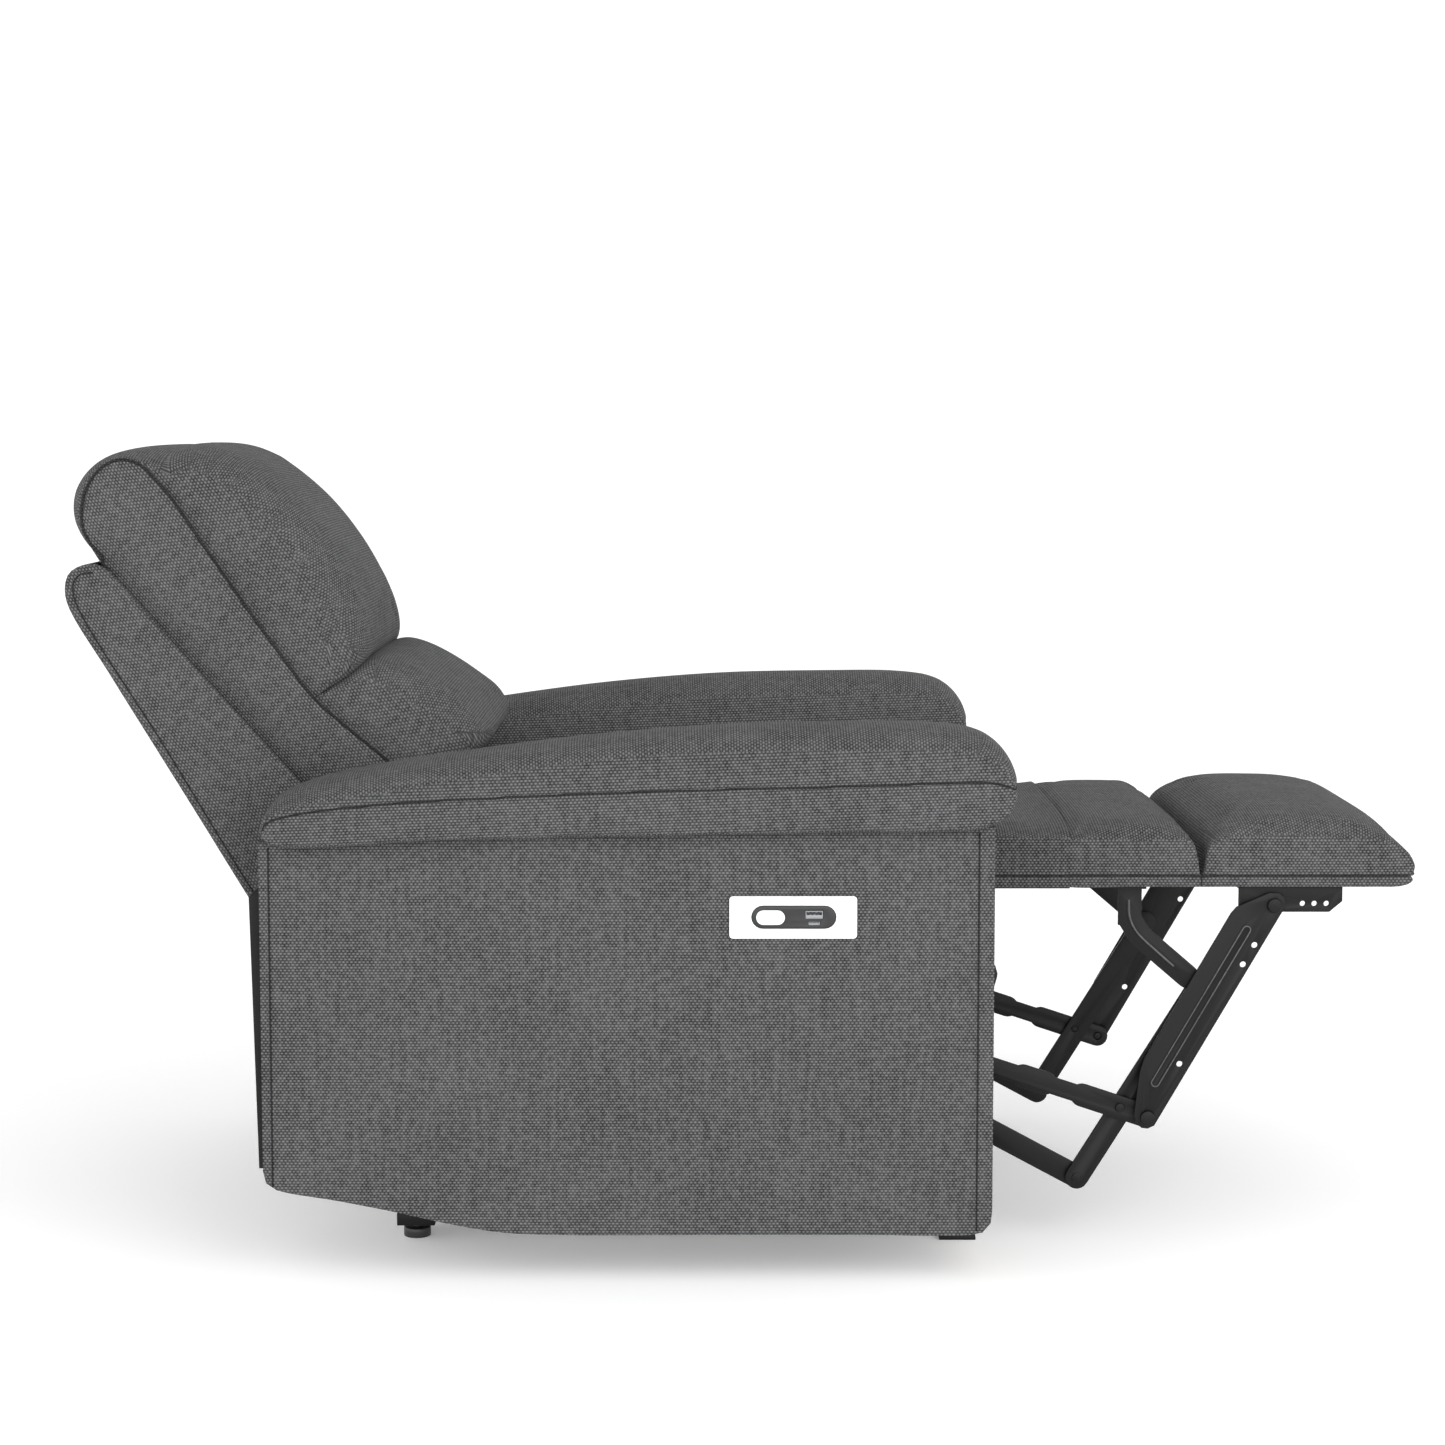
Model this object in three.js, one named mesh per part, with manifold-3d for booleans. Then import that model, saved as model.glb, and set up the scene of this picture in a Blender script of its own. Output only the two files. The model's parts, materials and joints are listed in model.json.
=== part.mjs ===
// Powered recliner armchair, modelled reclined with the leg rest out, in millimetres.
// +X is forward (towards the leg rest), +Y is the sitter's left, +Z is up and the floor is z = 0.
// The mechanism is drawn once for the sitter's right side (negative Y) and mirrored for the left.
import * as THREE from "three";
import { mergeVertices } from "three/addons/utils/BufferGeometryUtils.js";
import Module from "manifold-3d";

const wasm = await Module();
wasm.setup();

// ---- driving dimensions ----
const CENTRE_X = 26.3; // the drawing's X of the middle of the reclined chair; the part is centred on it
const GAP = 0.4; // clearance left between two pieces that touch

const SEAT_WIDTH = 530; // between the inner faces of the two sides
const SIDE_WIDTH = 165; // thickness of one side
const SIDE_INNER = SEAT_WIDTH / 2;
const PANEL_OUTER = SIDE_INNER + SIDE_WIDTH;
const WALL = 12; // upholstered wall of a side, board and padding together
const PANEL_FRONT = 309.5;
const PANEL_REAR = -526.6;
const PANEL_BOTTOM = 55.5;
const PANEL_TOP_REAR = 506;
const PANEL_TOP_FRONT = 523;
const ARM_OUTER = PANEL_OUTER + 25; // half width over the arm pads
const CUSHION_HALF = SIDE_INNER - 5; // half width of seat, back and leg rest

const SEAT_BOTTOM = 431;
const SEAT_TOP = 523;
const SEAT_REAR = -345;
const SEAT_NOSE = 372;

const BACK_PIVOT = [-395, 375];
const SHELL_HALF = SIDE_INNER - 3;
const SHELL_WALL = 14;

const LEG_REAR = 386; // rear end of the leg rest
const LEG_SPLIT = 571; // groove between its two padded sections
const LEG_FRONT = 828;
const LEG_BOTTOM = 432;
const BOARD = 14; // thickness of the leg rest board

// pivots of the leg rest linkage, [x, z], with the leg rest out
const SEAT_PIVOT_C = [318.3, 324.5]; // crank link on the seat plate
const SEAT_PIVOT_D = [275.5, 316]; // rear link on the seat plate
const PIVOT_Q = [511.1, 150.9]; // crank link to long link
const PIVOT_R = [479.2, 161.4]; // crank link to cross link
const PIVOT_T = [428.7, 74.5]; // rear link to cross link
const PIVOT_V = [558, 322.1]; // cross link to the leg rest's rear bracket
const CROSS_END = [573.5, 309]; // far end of the cross link, past that pivot
const PIVOT_P = [659.7, 409.5]; // long link to the leg rest's front bracket
const ELBOW_C = [290, 224];
const ELBOW_D = [275.5, 157];

const PLATE = 4; // thickness of every flat link
const PITCH = PLATE + 0.5; // spacing of the layers the links run in
const LAYER_0 = -SIDE_INNER + 13; // outer face of the outermost layer, right side
const TUBE_R = 8;

// base rails, measured across the chair
const RAIL_OUTER = SIDE_INNER - 65;
const RAIL_INNER = SIDE_INNER - 100;
const FOOT_REACH = SIDE_INNER - 20; // how far out the tabs over the feet go

// control panel, on the right side panel
const PANEL_X = [7.8, 152.8];
const PANEL_Z = [400.4, 448.9];
const INSERT_X = [33, 129];
const INSERT_Z = [412, 438];

// actuator, under the middle of the seat
const CRANK_R = 22;
const CRANK_REST = THREE.MathUtils.degToRad(63.5); // from straight down, towards the front
const ROD_Z = 304;

// ---- finishes ----
const FINISH = {
  fabric: { color: 0x646465, roughness: 0.95, metalness: 0 },
  fabricDark: { color: 0x575758, roughness: 0.95, metalness: 0 },
  lining: { color: 0x1b1b1c, roughness: 0.9, metalness: 0 },
  timber: { color: 0xb98f5e, roughness: 0.7, metalness: 0 },
  steel: { color: 0x2f2f30, roughness: 0.45, metalness: 0.85 },
  zinc: { color: 0x9a9c9f, roughness: 0.35, metalness: 0.95 },
  whitePlastic: { color: 0xf2f2f2, roughness: 0.3, metalness: 0 },
  blackPlastic: { color: 0x161617, roughness: 0.35, metalness: 0 },
};

// ---- solids ----
// A polygon [[x, z], ...] extruded from y0 to y1.
function prism(points, y0, y1) {
  const shape = new THREE.Shape(points.map(([x, z]) => new THREE.Vector2(x, z)));
  const geometry = new THREE.ExtrudeGeometry(shape, { depth: y1 - y0, bevelEnabled: false, curveSegments: 12 });
  geometry.rotateX(Math.PI / 2);
  geometry.translate(0, y1, 0);
  return geometry;
}

function box(x0, x1, y0, y1, z0, z1) {
  const geometry = new THREE.BoxGeometry(x1 - x0, y1 - y0, z1 - z0);
  geometry.translate((x0 + x1) / 2, (y0 + y1) / 2, (z0 + z1) / 2);
  return geometry;
}

// A cylinder along Y.
function pin([x, z], radius, y0, y1, segments = 20) {
  const geometry = new THREE.CylinderGeometry(radius, radius, y1 - y0, segments);
  geometry.translate(x, (y0 + y1) / 2, z);
  return geometry;
}

// The cut for a hole right through the links of the right side.
function hole(at, radius) {
  return pin(at, radius, -SIDE_INNER - 5, -RAIL_OUTER);
}

// A cylinder along X or Z.
function rod(axis, radius, from, to, a, b, segments = 20) {
  const geometry = new THREE.CylinderGeometry(radius, radius, to - from, segments);
  if (axis === "x") {
    geometry.rotateZ(-Math.PI / 2);
    geometry.translate((from + to) / 2, a, b);
  } else {
    geometry.rotateX(Math.PI / 2);
    geometry.translate(a, b, (from + to) / 2);
  }
  return geometry;
}

function solid(geometry) {
  const bare = geometry.clone();
  bare.deleteAttribute("normal");
  bare.deleteAttribute("uv");
  const merged = mergeVertices(bare, 1e-4);
  return new wasm.Manifold(new wasm.Mesh({
    numProp: 3,
    vertProperties: new Float32Array(merged.attributes.position.array),
    triVerts: new Uint32Array(merged.index.array),
  }));
}

function geometryOf(manifold) {
  const mesh = manifold.getMesh();
  const geometry = new THREE.BufferGeometry();
  geometry.setAttribute("position", new THREE.BufferAttribute(new Float32Array(mesh.vertProperties), 3));
  geometry.setIndex(new THREE.BufferAttribute(new Uint32Array(mesh.triVerts), 1));
  geometry.computeVertexNormals();
  return geometry;
}

// The pieces joined, less the cuts.
function carve(pieces, cuts = []) {
  let result = solid(pieces[0]);
  for (const piece of pieces.slice(1)) {
    result = result.add(solid(piece));
  }
  for (const cut of cuts) {
    result = result.subtract(solid(cut));
  }
  return geometryOf(result);
}

// A flat bar with round ends from a to b.
function bar(a, b, width, y0, y1) {
  const angle = Math.atan2(b[1] - a[1], b[0] - a[0]);
  const points = [];
  for (const [centre, turn] of [[b, -Math.PI / 2], [a, Math.PI / 2]]) {
    for (let i = 0; i <= 10; i += 1) {
      const t = angle + turn + (Math.PI * i) / 10;
      points.push([centre[0] + (width / 2) * Math.cos(t), centre[1] + (width / 2) * Math.sin(t)]);
    }
  }
  return prism(points, y0, y1);
}

// The point s along the line from a to b and n to its left.
function along(a, b, s, n) {
  const length = Math.hypot(b[0] - a[0], b[1] - a[1]);
  const ux = (b[0] - a[0]) / length;
  const uz = (b[1] - a[1]) / length;
  return [a[0] + ux * s - uz * n, a[1] + uz * s + ux * n];
}

// A soft pad across the chair. Each pair is [edge x, edge z, middle x, middle z], going anticlockwise
// seen from the right side: the outline at the two ends and the outline of the crown halfway between.
function pad(pairs, y0, y1, { points = 44, rings = 10, power = 4 } = {}) {
  const outlines = [0, 2].map((k) => {
    const corners = pairs.map((p) => new THREE.Vector3(p[k], 0, p[k + 1]));
    const curve = new THREE.CatmullRomCurve3(corners, true, "centripetal");
    const list = [];
    for (let j = 0; j < points; j += 1) {
      list.push(curve.getPoint(j / points));
    }
    return list;
  });
  const positions = [];
  for (let i = 0; i <= rings; i += 1) {
    const u = -Math.cos((Math.PI * i) / rings);
    const rise = Math.sqrt(Math.max(0, 1 - Math.abs(u) ** power));
    const y = (y0 + y1) / 2 + (u * (y1 - y0)) / 2;
    for (let j = 0; j < points; j += 1) {
      const a = outlines[0][j];
      const b = outlines[1][j];
      positions.push(a.x + (b.x - a.x) * rise, y, a.z + (b.z - a.z) * rise);
    }
  }
  const index = [];
  for (let i = 0; i < rings; i += 1) {
    for (let j = 0; j < points; j += 1) {
      const a = i * points + j;
      const b = i * points + ((j + 1) % points);
      index.push(a, a + points, b, b, a + points, b + points);
    }
  }
  const last = rings * points;
  for (const [a, b, c] of wasm.triangulate([outlines[0].map((p) => [p.x, p.z])])) {
    index.push(a, b, c, last + a, last + c, last + b);
  }
  const geometry = new THREE.BufferGeometry();
  geometry.setAttribute("position", new THREE.Float32BufferAttribute(positions, 3));
  geometry.setIndex(index);
  geometry.computeVertexNormals();
  return geometry;
}

function panelTop(x) {
  return PANEL_TOP_REAR + ((x - PANEL_REAR) * (PANEL_TOP_FRONT - PANEL_TOP_REAR)) / (PANEL_FRONT - PANEL_REAR);
}

// The same solid on the chair's left.
function mirrored(geometry) {
  return geometryOf(solid(geometry).mirror([0, 1, 0]));
}

// ---- scene ----
const chair = new THREE.Group();
chair.position.x = -CENTRE_X;

function add(name, geometry, finish) {
  const mesh = new THREE.Mesh(geometry, new THREE.MeshStandardMaterial(FINISH[finish]));
  mesh.name = name;
  chair.add(mesh);
}

function addPair(name, geometry, finish) {
  add(`${name}_right`, geometry, finish);
  add(`${name}_left`, mirrored(geometry), finish);
}

// The two faces of layer n, counted inwards from the outermost.
function layer(n) {
  return [LAYER_0 + PITCH * n, LAYER_0 + PITCH * n + PLATE];
}

// ---- sides ----
const panelOutline = [
  [PANEL_REAR, 125],
  [-523, 114],
  [-514, 108.5],
  [-440, 95],
  [-370, 81],
  [-310, 67.5],
  [-255, 58.5],
  [-190, PANEL_BOTTOM],
  [285, PANEL_BOTTOM],
  [299, 59],
  [307, 68],
  [PANEL_FRONT, 84],
  [PANEL_FRONT, panelTop(PANEL_FRONT)],
  [PANEL_REAR, panelTop(PANEL_REAR)],
];
const cavity = box(PANEL_REAR + WALL, PANEL_FRONT - WALL, -PANEL_OUTER + WALL, -SIDE_INNER - WALL, 0, 700);
const insertHole = bar(
  [INSERT_X[0] + 13, 425],
  [INSERT_X[1] - 13, 425],
  INSERT_Z[1] - INSERT_Z[0] + 2 * GAP,
  -PANEL_OUTER - 5,
  -PANEL_OUTER + WALL + 5,
);
const sideCover = prism(panelOutline, -PANEL_OUTER, -SIDE_INNER);
add("side_cover_right", carve([sideCover], [cavity, insertHole]), "fabric");
add("side_cover_left", mirrored(carve([sideCover], [cavity])), "fabric");

const frameRear = PANEL_REAR + WALL + 1.5;
const frameFront = PANEL_FRONT - WALL - 1.5;
const frameOutline = [
  [frameRear, 114],
  [-370, 92],
  [-255, 70],
  [frameFront, 66],
  [frameFront, 518],
  [frameRear, 502],
];
addPair("side_frame", carve(
  [prism(frameOutline, -PANEL_OUTER + WALL + 1, -SIDE_INNER - WALL - 1)],
  [
    box(-466, -112, -PANEL_OUTER, -SIDE_INNER, 148, 462),
    box(-72, 250, -PANEL_OUTER, -SIDE_INNER, 110, 478),
  ],
), "timber");

const armRest = pad([
  [-519, panelTop(-519) + 0.6, -519, panelTop(-519) + 0.6],
  [-115, panelTop(-115) + 0.6, -115, panelTop(-115) + 0.6],
  [305, panelTop(305) + 0.6, 305, panelTop(305) + 0.6],
  [322, 531, 326, 531],
  [330, 552, 339, 556],
  [329, 576, 338, 584],
  [316, 585, 325, 609],
  [290, 586, 298, 631],
  [240, 585, 245, 639],
  [150, 582, 150, 639.5],
  [0, 578, -10, 637],
  [-131, 574, -160, 624],
  [-250, 569, -280, 608],
  [-366, 563, -382, 592],
  [-470, 552, -480, 573],
  [-521, 541, -524, 550],
  [-529, 526, -530, 528],
], -ARM_OUTER, -SIDE_INNER + 1, { points: 48, rings: 10, power: 3 });
const sideTop = [[-600, 400], [400, 400], [400, panelTop(400) + GAP], [-600, panelTop(-600) + GAP]];
addPair("arm_pad", carve([armRest], [prism(sideTop, -ARM_OUTER - 10, -SIDE_INNER + 10)]), "fabric");

const stripOutline = [[PANEL_REAR - GAP, 129], [PANEL_REAR - 7, 129], [-541, 445], [PANEL_REAR - GAP, 445]];
addPair("rear_strip", prism(stripOutline, -PANEL_OUTER + 18, -SIDE_INNER - 18), "lining");

// ---- control panel ----
const plateOutline = [];
for (const [x, z, start] of [
  [PANEL_X[1] - 4, PANEL_Z[0] + 4, -90],
  [PANEL_X[1] - 4, PANEL_Z[1] - 4, 0],
  [PANEL_X[0] + 4, PANEL_Z[1] - 4, 90],
  [PANEL_X[0] + 4, PANEL_Z[0] + 4, 180],
]) {
  for (let i = 0; i <= 5; i += 1) {
    const t = THREE.MathUtils.degToRad(start + 18 * i);
    plateOutline.push([x + 4 * Math.cos(t), z + 4 * Math.sin(t)]);
  }
}
const controlPlate = prism(plateOutline, -PANEL_OUTER - 4, -PANEL_OUTER - GAP);
add("control_plate", carve([controlPlate], [insertHole]), "whitePlastic");
const usbA = [94, 114.2, 423, 432.5];
const usbC = [97.5, 110.7, 415.6, 420];
const insertEnds = [[INSERT_X[0] + 13, 425], [INSERT_X[1] - 13, 425]];
add("control_insert", carve(
  [bar(...insertEnds, INSERT_Z[1] - INSERT_Z[0], -PANEL_OUTER - 3, -PANEL_OUTER + 28)],
  [usbA, usbC].map(([x0, x1, z0, z1]) => box(x0, x1, -PANEL_OUTER - 10, -PANEL_OUTER + 12, z0, z1)),
), "blackPlastic");
function socket([x0, x1, z0, z1], wall, tongue) {
  const y = -PANEL_OUTER;
  return carve(
    [box(x0 + GAP, x1 - GAP, y - 2.8, y + 11, z0 + GAP, z1 - GAP)],
    [
      box(x0 + wall, x1 - wall, y - 9, y + 9, tongue, z1 - wall),
      box(x0 + wall, x1 - wall, y - 9, y - 1, z0 + wall, tongue + 0.1),
    ],
  );
}
add("usb_a_port", socket(usbA, 1.2, 427), "zinc");
add("usb_c_port", socket(usbC, 0.9, 417.8), "zinc");
add("rocker_button", carve([
  bar([46.5, 425], [62.5, 425], 16.5, -PANEL_OUTER - 7, -PANEL_OUTER - 4.6),
  box(51.5, 57.5, -PANEL_OUTER - 5, -PANEL_OUTER - 3 - GAP, 419, 431),
]), "whitePlastic");

// ---- base and seat ----
addPair("base_rail", carve([
  box(-396, 300, -RAIL_OUTER, -RAIL_INNER, 16.5, 41),
  box(-394, -348, -FOOT_REACH, -RAIL_OUTER + 5, 16.5, 32), // tab over the rear glide
]), "steel");
add("base_crossbar_front", box(180, 215, -RAIL_INNER + GAP, RAIL_INNER - GAP, 17, 40), "steel");
add("base_crossbar_rear", box(-335, -300, -RAIL_INNER + GAP, RAIL_INNER - GAP, 17, 40), "steel");
addPair("rear_glide", carve([
  rod("z", 16.5, 0, 12, -371, -FOOT_REACH + 19),
  rod("z", 8, 11, 16.1, -371, -FOOT_REACH + 19),
]), "blackPlastic");
const footOutline = [[262, 0], [304, 0], [310, 5], [310, 16.1], [256, 16.1], [256, 5]];
addPair("front_foot", carve([
  prism(footOutline, -RAIL_OUTER - 4, -RAIL_INNER - 2),
  box(262, 306, -FOOT_REACH - 4, -RAIL_OUTER, 0, 5), // toe, low enough for the links to pass over
]), "steel");

const [plateOuter, plateInner] = layer(5);
const seatPlateOutline = [
  [-432, 356],
  [-412, 352],
  [-372, 330],
  [-372, 290],
  [-345, 200],
  [-345, 41.4],
  [-305, 41.4],
  [-305, 220],
  [-270, 290],
  [120, 290],
  [165, 240],
  [165, 41.4],
  [205, 41.4],
  [205, 250],
  [235, 290],
  [270, 302],
  [322, 311],
  [329, 317],
  [331, 324],
  [329, 332],
  [322, 338],
  [285, 345],
  [285, 399],
  [-380, 399],
  [-405, 396],
  [-418, 388],
  [-432, 380],
];
const seatPlateCuts = [
  hole(SEAT_PIVOT_C, TUBE_R + GAP),
  hole(SEAT_PIVOT_D, 5 + GAP),
  hole(BACK_PIVOT, 6 + GAP),
];
addPair("seat_plate", carve([
  prism(seatPlateOutline, plateOuter, plateInner),
  box(-345, -305, plateInner - 0.1, -RAIL_INNER - 3, 41.4, 44.4),
  box(165, 205, plateInner - 0.1, -RAIL_INNER - 3, 41.4, 44.4),
], seatPlateCuts), "steel");

add("seat_frame", carve([box(-335, 318, -SIDE_INNER + 41, SIDE_INNER - 41, 400, 426)], [
  box(-295, 278, -SIDE_INNER + 75, SIDE_INNER - 75, 300, 500),
]), "timber");
add("spring_deck", box(-333, 316, -SIDE_INNER + 43, SIDE_INNER - 43, 426 + GAP, 429.6), "lining");
add("stretcher_tube", pin([-120, 306], TUBE_R, plateInner + GAP, -plateInner - GAP), "steel");

const seatPad = pad([
  [-340, SEAT_BOTTOM, -340, SEAT_BOTTOM],
  [0, SEAT_BOTTOM, 0, SEAT_BOTTOM],
  [328, SEAT_BOTTOM, 328, SEAT_BOTTOM],
  [346, 441, 346, 441],
  [363, 460, 363, 460],
  [SEAT_NOSE, 478, SEAT_NOSE + 1, 482],
  [SEAT_NOSE - 6, 492, SEAT_NOSE - 4, 506],
  [340, 497, 340, 519],
  [200, 498, 200, SEAT_TOP],
  [-100, 498, -100, SEAT_TOP - 3],
  [-290, 496, -290, 514],
  [SEAT_REAR + 3, 482, SEAT_REAR + 1, 496],
  [SEAT_REAR, 450, SEAT_REAR, 450],
], -CUSHION_HALF, CUSHION_HALF);
add("seat_cushion", carve([seatPad], [box(-400, 400, -SIDE_INNER, SIDE_INNER, 400, SEAT_BOTTOM)]), "fabric");

// ---- actuator ----
add("actuator_body", carve([
  box(-105, -45, -26, 26, ROD_Z - 26, ROD_Z + 26),
  box(-140, -104, -12, 12, ROD_Z - 16, ROD_Z + 18),
  rod("x", 13, -46, 175, 0, ROD_Z),
  pin([-75, ROD_Z], 21, 25, 125),
], [
  pin([-120, 306], TUBE_R + GAP, -20, 20),
  rod("x", 9.5, -30, 180, 0, ROD_Z),
]), "blackPlastic");
const crankTip = [
  SEAT_PIVOT_C[0] + CRANK_R * Math.sin(CRANK_REST),
  SEAT_PIVOT_C[1] - CRANK_R * Math.cos(CRANK_REST),
];
add("actuator_rod", carve([
  rod("x", 8, 15, crankTip[0] - 60, 0, ROD_Z),
  rod("x", 6, crankTip[0] - 61, crankTip[0] - 3, 0, ROD_Z),
  pin([crankTip[0], ROD_Z], 8, -5, 5),
], [pin([crankTip[0], ROD_Z], 4, -9, 9)]), "zinc");

// ---- crank link, with the torque tube across the chair ----
const [cOuter, cInner] = layer(2);
addPair("crank_link", carve([
  bar(SEAT_PIVOT_C, ELBOW_C, 24, cOuter, cInner),
  bar(ELBOW_C, PIVOT_Q, 21, cOuter, cInner),
  bar(ELBOW_C, along(ELBOW_C, PIVOT_Q, 24, 0), 25, cOuter, cInner),
  bar(along(ELBOW_C, PIVOT_Q, 76, 0), along(ELBOW_C, PIVOT_Q, 104, 0), 28, cOuter, cInner),
  bar(along(PIVOT_Q, ELBOW_C, 82, 0), PIVOT_Q, 28, cOuter, cInner),
], [
  hole(PIVOT_Q, 5 + GAP),
  hole(PIVOT_R, 4 + GAP),
]), "steel");
const tubeEnd = -cInner - GAP;
add("torque_tube", carve([
  pin(SEAT_PIVOT_C, TUBE_R, -tubeEnd, tubeEnd),
  bar(SEAT_PIVOT_C, crankTip, 17, 6, 11),
  bar(SEAT_PIVOT_C, crankTip, 17, -11, -6),
]), "steel");

// ---- long link, which carries the leg rest ----
const [aOuter, aInner] = layer(0);
const span = Math.hypot(PIVOT_P[0] - PIVOT_Q[0], PIVOT_P[1] - PIVOT_Q[1]);
const longOutline = [
  [-11, -7], [-14, 0], [-12, 9], [-4, 16], [46, 37], [62, 40], [span - 34, 40], [span - 24, 38],
  [span + 10, 13], [span + 15, 3], [span + 14, -5], [span + 8, -11], [span - 2, -12], [14, -12], [-4, -12],
].map(([s, n]) => along(PIVOT_Q, PIVOT_P, s, n)).reverse();
const ribEnds = [along(PIVOT_Q, PIVOT_P, 40, 14), along(PIVOT_Q, PIVOT_P, span - 40, 14)];
addPair("long_link", carve([
  prism(longOutline, aOuter, aInner),
  bar(ribEnds[0], ribEnds[1], 11, aOuter - 1.5, aOuter + 1),
], [
  bar(ribEnds[0], ribEnds[1], 6, aOuter - 5, aOuter + 0.5),
  hole(PIVOT_Q, 5 + GAP),
  hole(PIVOT_P, 5 + GAP),
  ...[[76, 0], [218, -4], [245, -4]].map(([s, n]) => hole(along(PIVOT_Q, PIVOT_P, s, n), 3.8)),
]), "steel");
addPair("knee_rivet", carve([
  pin(PIVOT_Q, 9, aOuter - 3.5, aOuter - GAP),
  pin(PIVOT_Q, 5, aOuter - 1, cInner),
]), "steel");
addPair("leg_rivet", carve([
  pin(PIVOT_P, 8.5, aOuter - 3.5, aOuter - GAP),
  pin(PIVOT_P, 5, aOuter - 1, layer(1)[1] + 1),
  pin(PIVOT_P, 7.5, layer(1)[1] + GAP, layer(1)[1] + 3),
]), "steel");

// ---- cross link ----
const [eOuter, eInner] = layer(3);
addPair("cross_link", carve([
  bar(PIVOT_T, CROSS_END, 28, eOuter, eInner),
  pin(PIVOT_T, 6, eOuter - 1, eOuter + 1),
], [hole(PIVOT_R, 4 + GAP)]), "steel");
addPair("cross_rivet", carve([
  pin(PIVOT_R, 5.5, cOuter - 1.8, cOuter - GAP),
  pin(PIVOT_R, 4, cOuter - 1, eInner),
]), "steel");

// ---- rear link ----
const [dOuter, dInner] = layer(4);
addPair("rear_link", carve([
  bar(SEAT_PIVOT_D, ELBOW_D, 24, dOuter, dInner),
  bar(ELBOW_D, PIVOT_T, 28, dOuter, dInner),
  pin(SEAT_PIVOT_D, 5, dInner - 1, plateInner + 1),
  pin(SEAT_PIVOT_D, 8, plateInner + GAP, plateInner + 3),
]), "steel");

// ---- leg rest ----
const [bOuter, bInner] = layer(1);
const bracketTop = LEG_BOTTOM - GAP;
addPair("front_bracket", carve([
  prism([
    [624, 401], [726, 401], [741.4, 414], [741.4, bracketTop], [617.5, bracketTop], [617.5, 408],
  ], bOuter, bInner),
  box(617.5, 741.4, bOuter, -SIDE_INNER + 53, LEG_BOTTOM - GAP - 3, LEG_BOTTOM - GAP),
], [
  hole(PIVOT_P, 5 + GAP),
  ...[694, 708, 722.5].map((x) => hole([x, 411], 3.4)),
]), "steel");
const bracketBend = [487.5, 392];
const bracketKnee = [501, 371];
addPair("rear_bracket", carve([
  box(473.5, 501.5, bOuter, bInner, 385, LEG_BOTTOM - GAP),
  bar(bracketBend, bracketKnee, 28, bOuter, bInner),
  bar(bracketKnee, PIVOT_V, 28, bOuter, bInner),
  box(468, 507, bOuter, -SIDE_INNER + 53, LEG_BOTTOM - GAP - 3, LEG_BOTTOM - GAP),
  bar([486, 412], bracketBend, 6, bOuter - 0.45, bOuter + 1),
  bar(bracketBend, bracketKnee, 6, bOuter - 0.45, bOuter + 1),
  bar(bracketKnee, along(bracketKnee, PIVOT_V, 58, 0), 6, bOuter - 0.45, bOuter + 1),
]), "steel");
add("leg_board", box(414, 778, -CUSHION_HALF, CUSHION_HALF, LEG_BOTTOM, LEG_BOTTOM + BOARD), "fabricDark");

const padBottom = LEG_BOTTOM + BOARD + GAP;
const rearPad = pad([
  [404, padBottom, 404, padBottom],
  [480, padBottom, 480, padBottom],
  [562, padBottom, 562, padBottom],
  [LEG_SPLIT - 1.5, 452, LEG_SPLIT - 1.5, 452],
  [LEG_SPLIT - 1, 474, LEG_SPLIT - 1, 482],
  [LEG_SPLIT - 5, 485, LEG_SPLIT - 9, 500],
  [550, 490, 545, 509],
  [500, 492, 500, 513],
  [430, 491, 430, 513],
  [397, 484, 400, 507],
  [LEG_REAR, 470, LEG_REAR, 480],
  [390, 453, 390, 453],
], -CUSHION_HALF, CUSHION_HALF);
add("leg_pad_rear", carve([rearPad], [box(300, 600, -SIDE_INNER, SIDE_INNER, 400, padBottom)]), "fabric");
const frontPad = pad([
  [LEG_SPLIT + 6, 434, LEG_SPLIT + 6, 434],
  [680, 433, 680, 433],
  [790, LEG_BOTTOM + 1, 790, LEG_BOTTOM + 1],
  [813, 435, 815, 435],
  [LEG_FRONT - 3, 446, LEG_FRONT, 446],
  [LEG_FRONT - 5, 462, LEG_FRONT, 462],
  [810, 478, 816, 487],
  [783, 487, 787, 505],
  [735, 491, 738, 516],
  [690, 492, 690, 518],
  [637, 492, 637, 518],
  [596, 489, 594, 511],
  [LEG_SPLIT + 4, 480, LEG_SPLIT + 6, 500],
  [LEG_SPLIT + 1.5, 464, LEG_SPLIT + 1.5, 468],
  [LEG_SPLIT + 1.5, 446, LEG_SPLIT + 1.5, 446],
], -CUSHION_HALF, CUSHION_HALF, { points: 48 });
const boardRecess = box(LEG_SPLIT - 50, 778 + GAP, -SIDE_INNER, SIDE_INNER, 400, padBottom);
add("leg_pad_front", carve([frontPad], [boardRecess]), "fabric");

// ---- back ----
const shellOutline = [
  [-528, 362], [-470, 362], [-424, 440], [-428, 476], [-501, 558], [-728, 812], [-740, 816], [-757, 814],
  [-769, 806], [-774, 794], [-771, 769], [-668, 596], [-564, 420],
];
const shellHollow = [[-515, 300], [-350, 300], [-350, 500], [-700, 900], [-738, 792], [-755, 770], [-548, 424]];
const hollow = -SHELL_HALF + SHELL_WALL;
add("back_shell", carve(
  [prism(shellOutline, -SHELL_HALF, SHELL_HALF)],
  [prism(shellHollow, hollow, -hollow)],
), "fabric");

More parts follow.
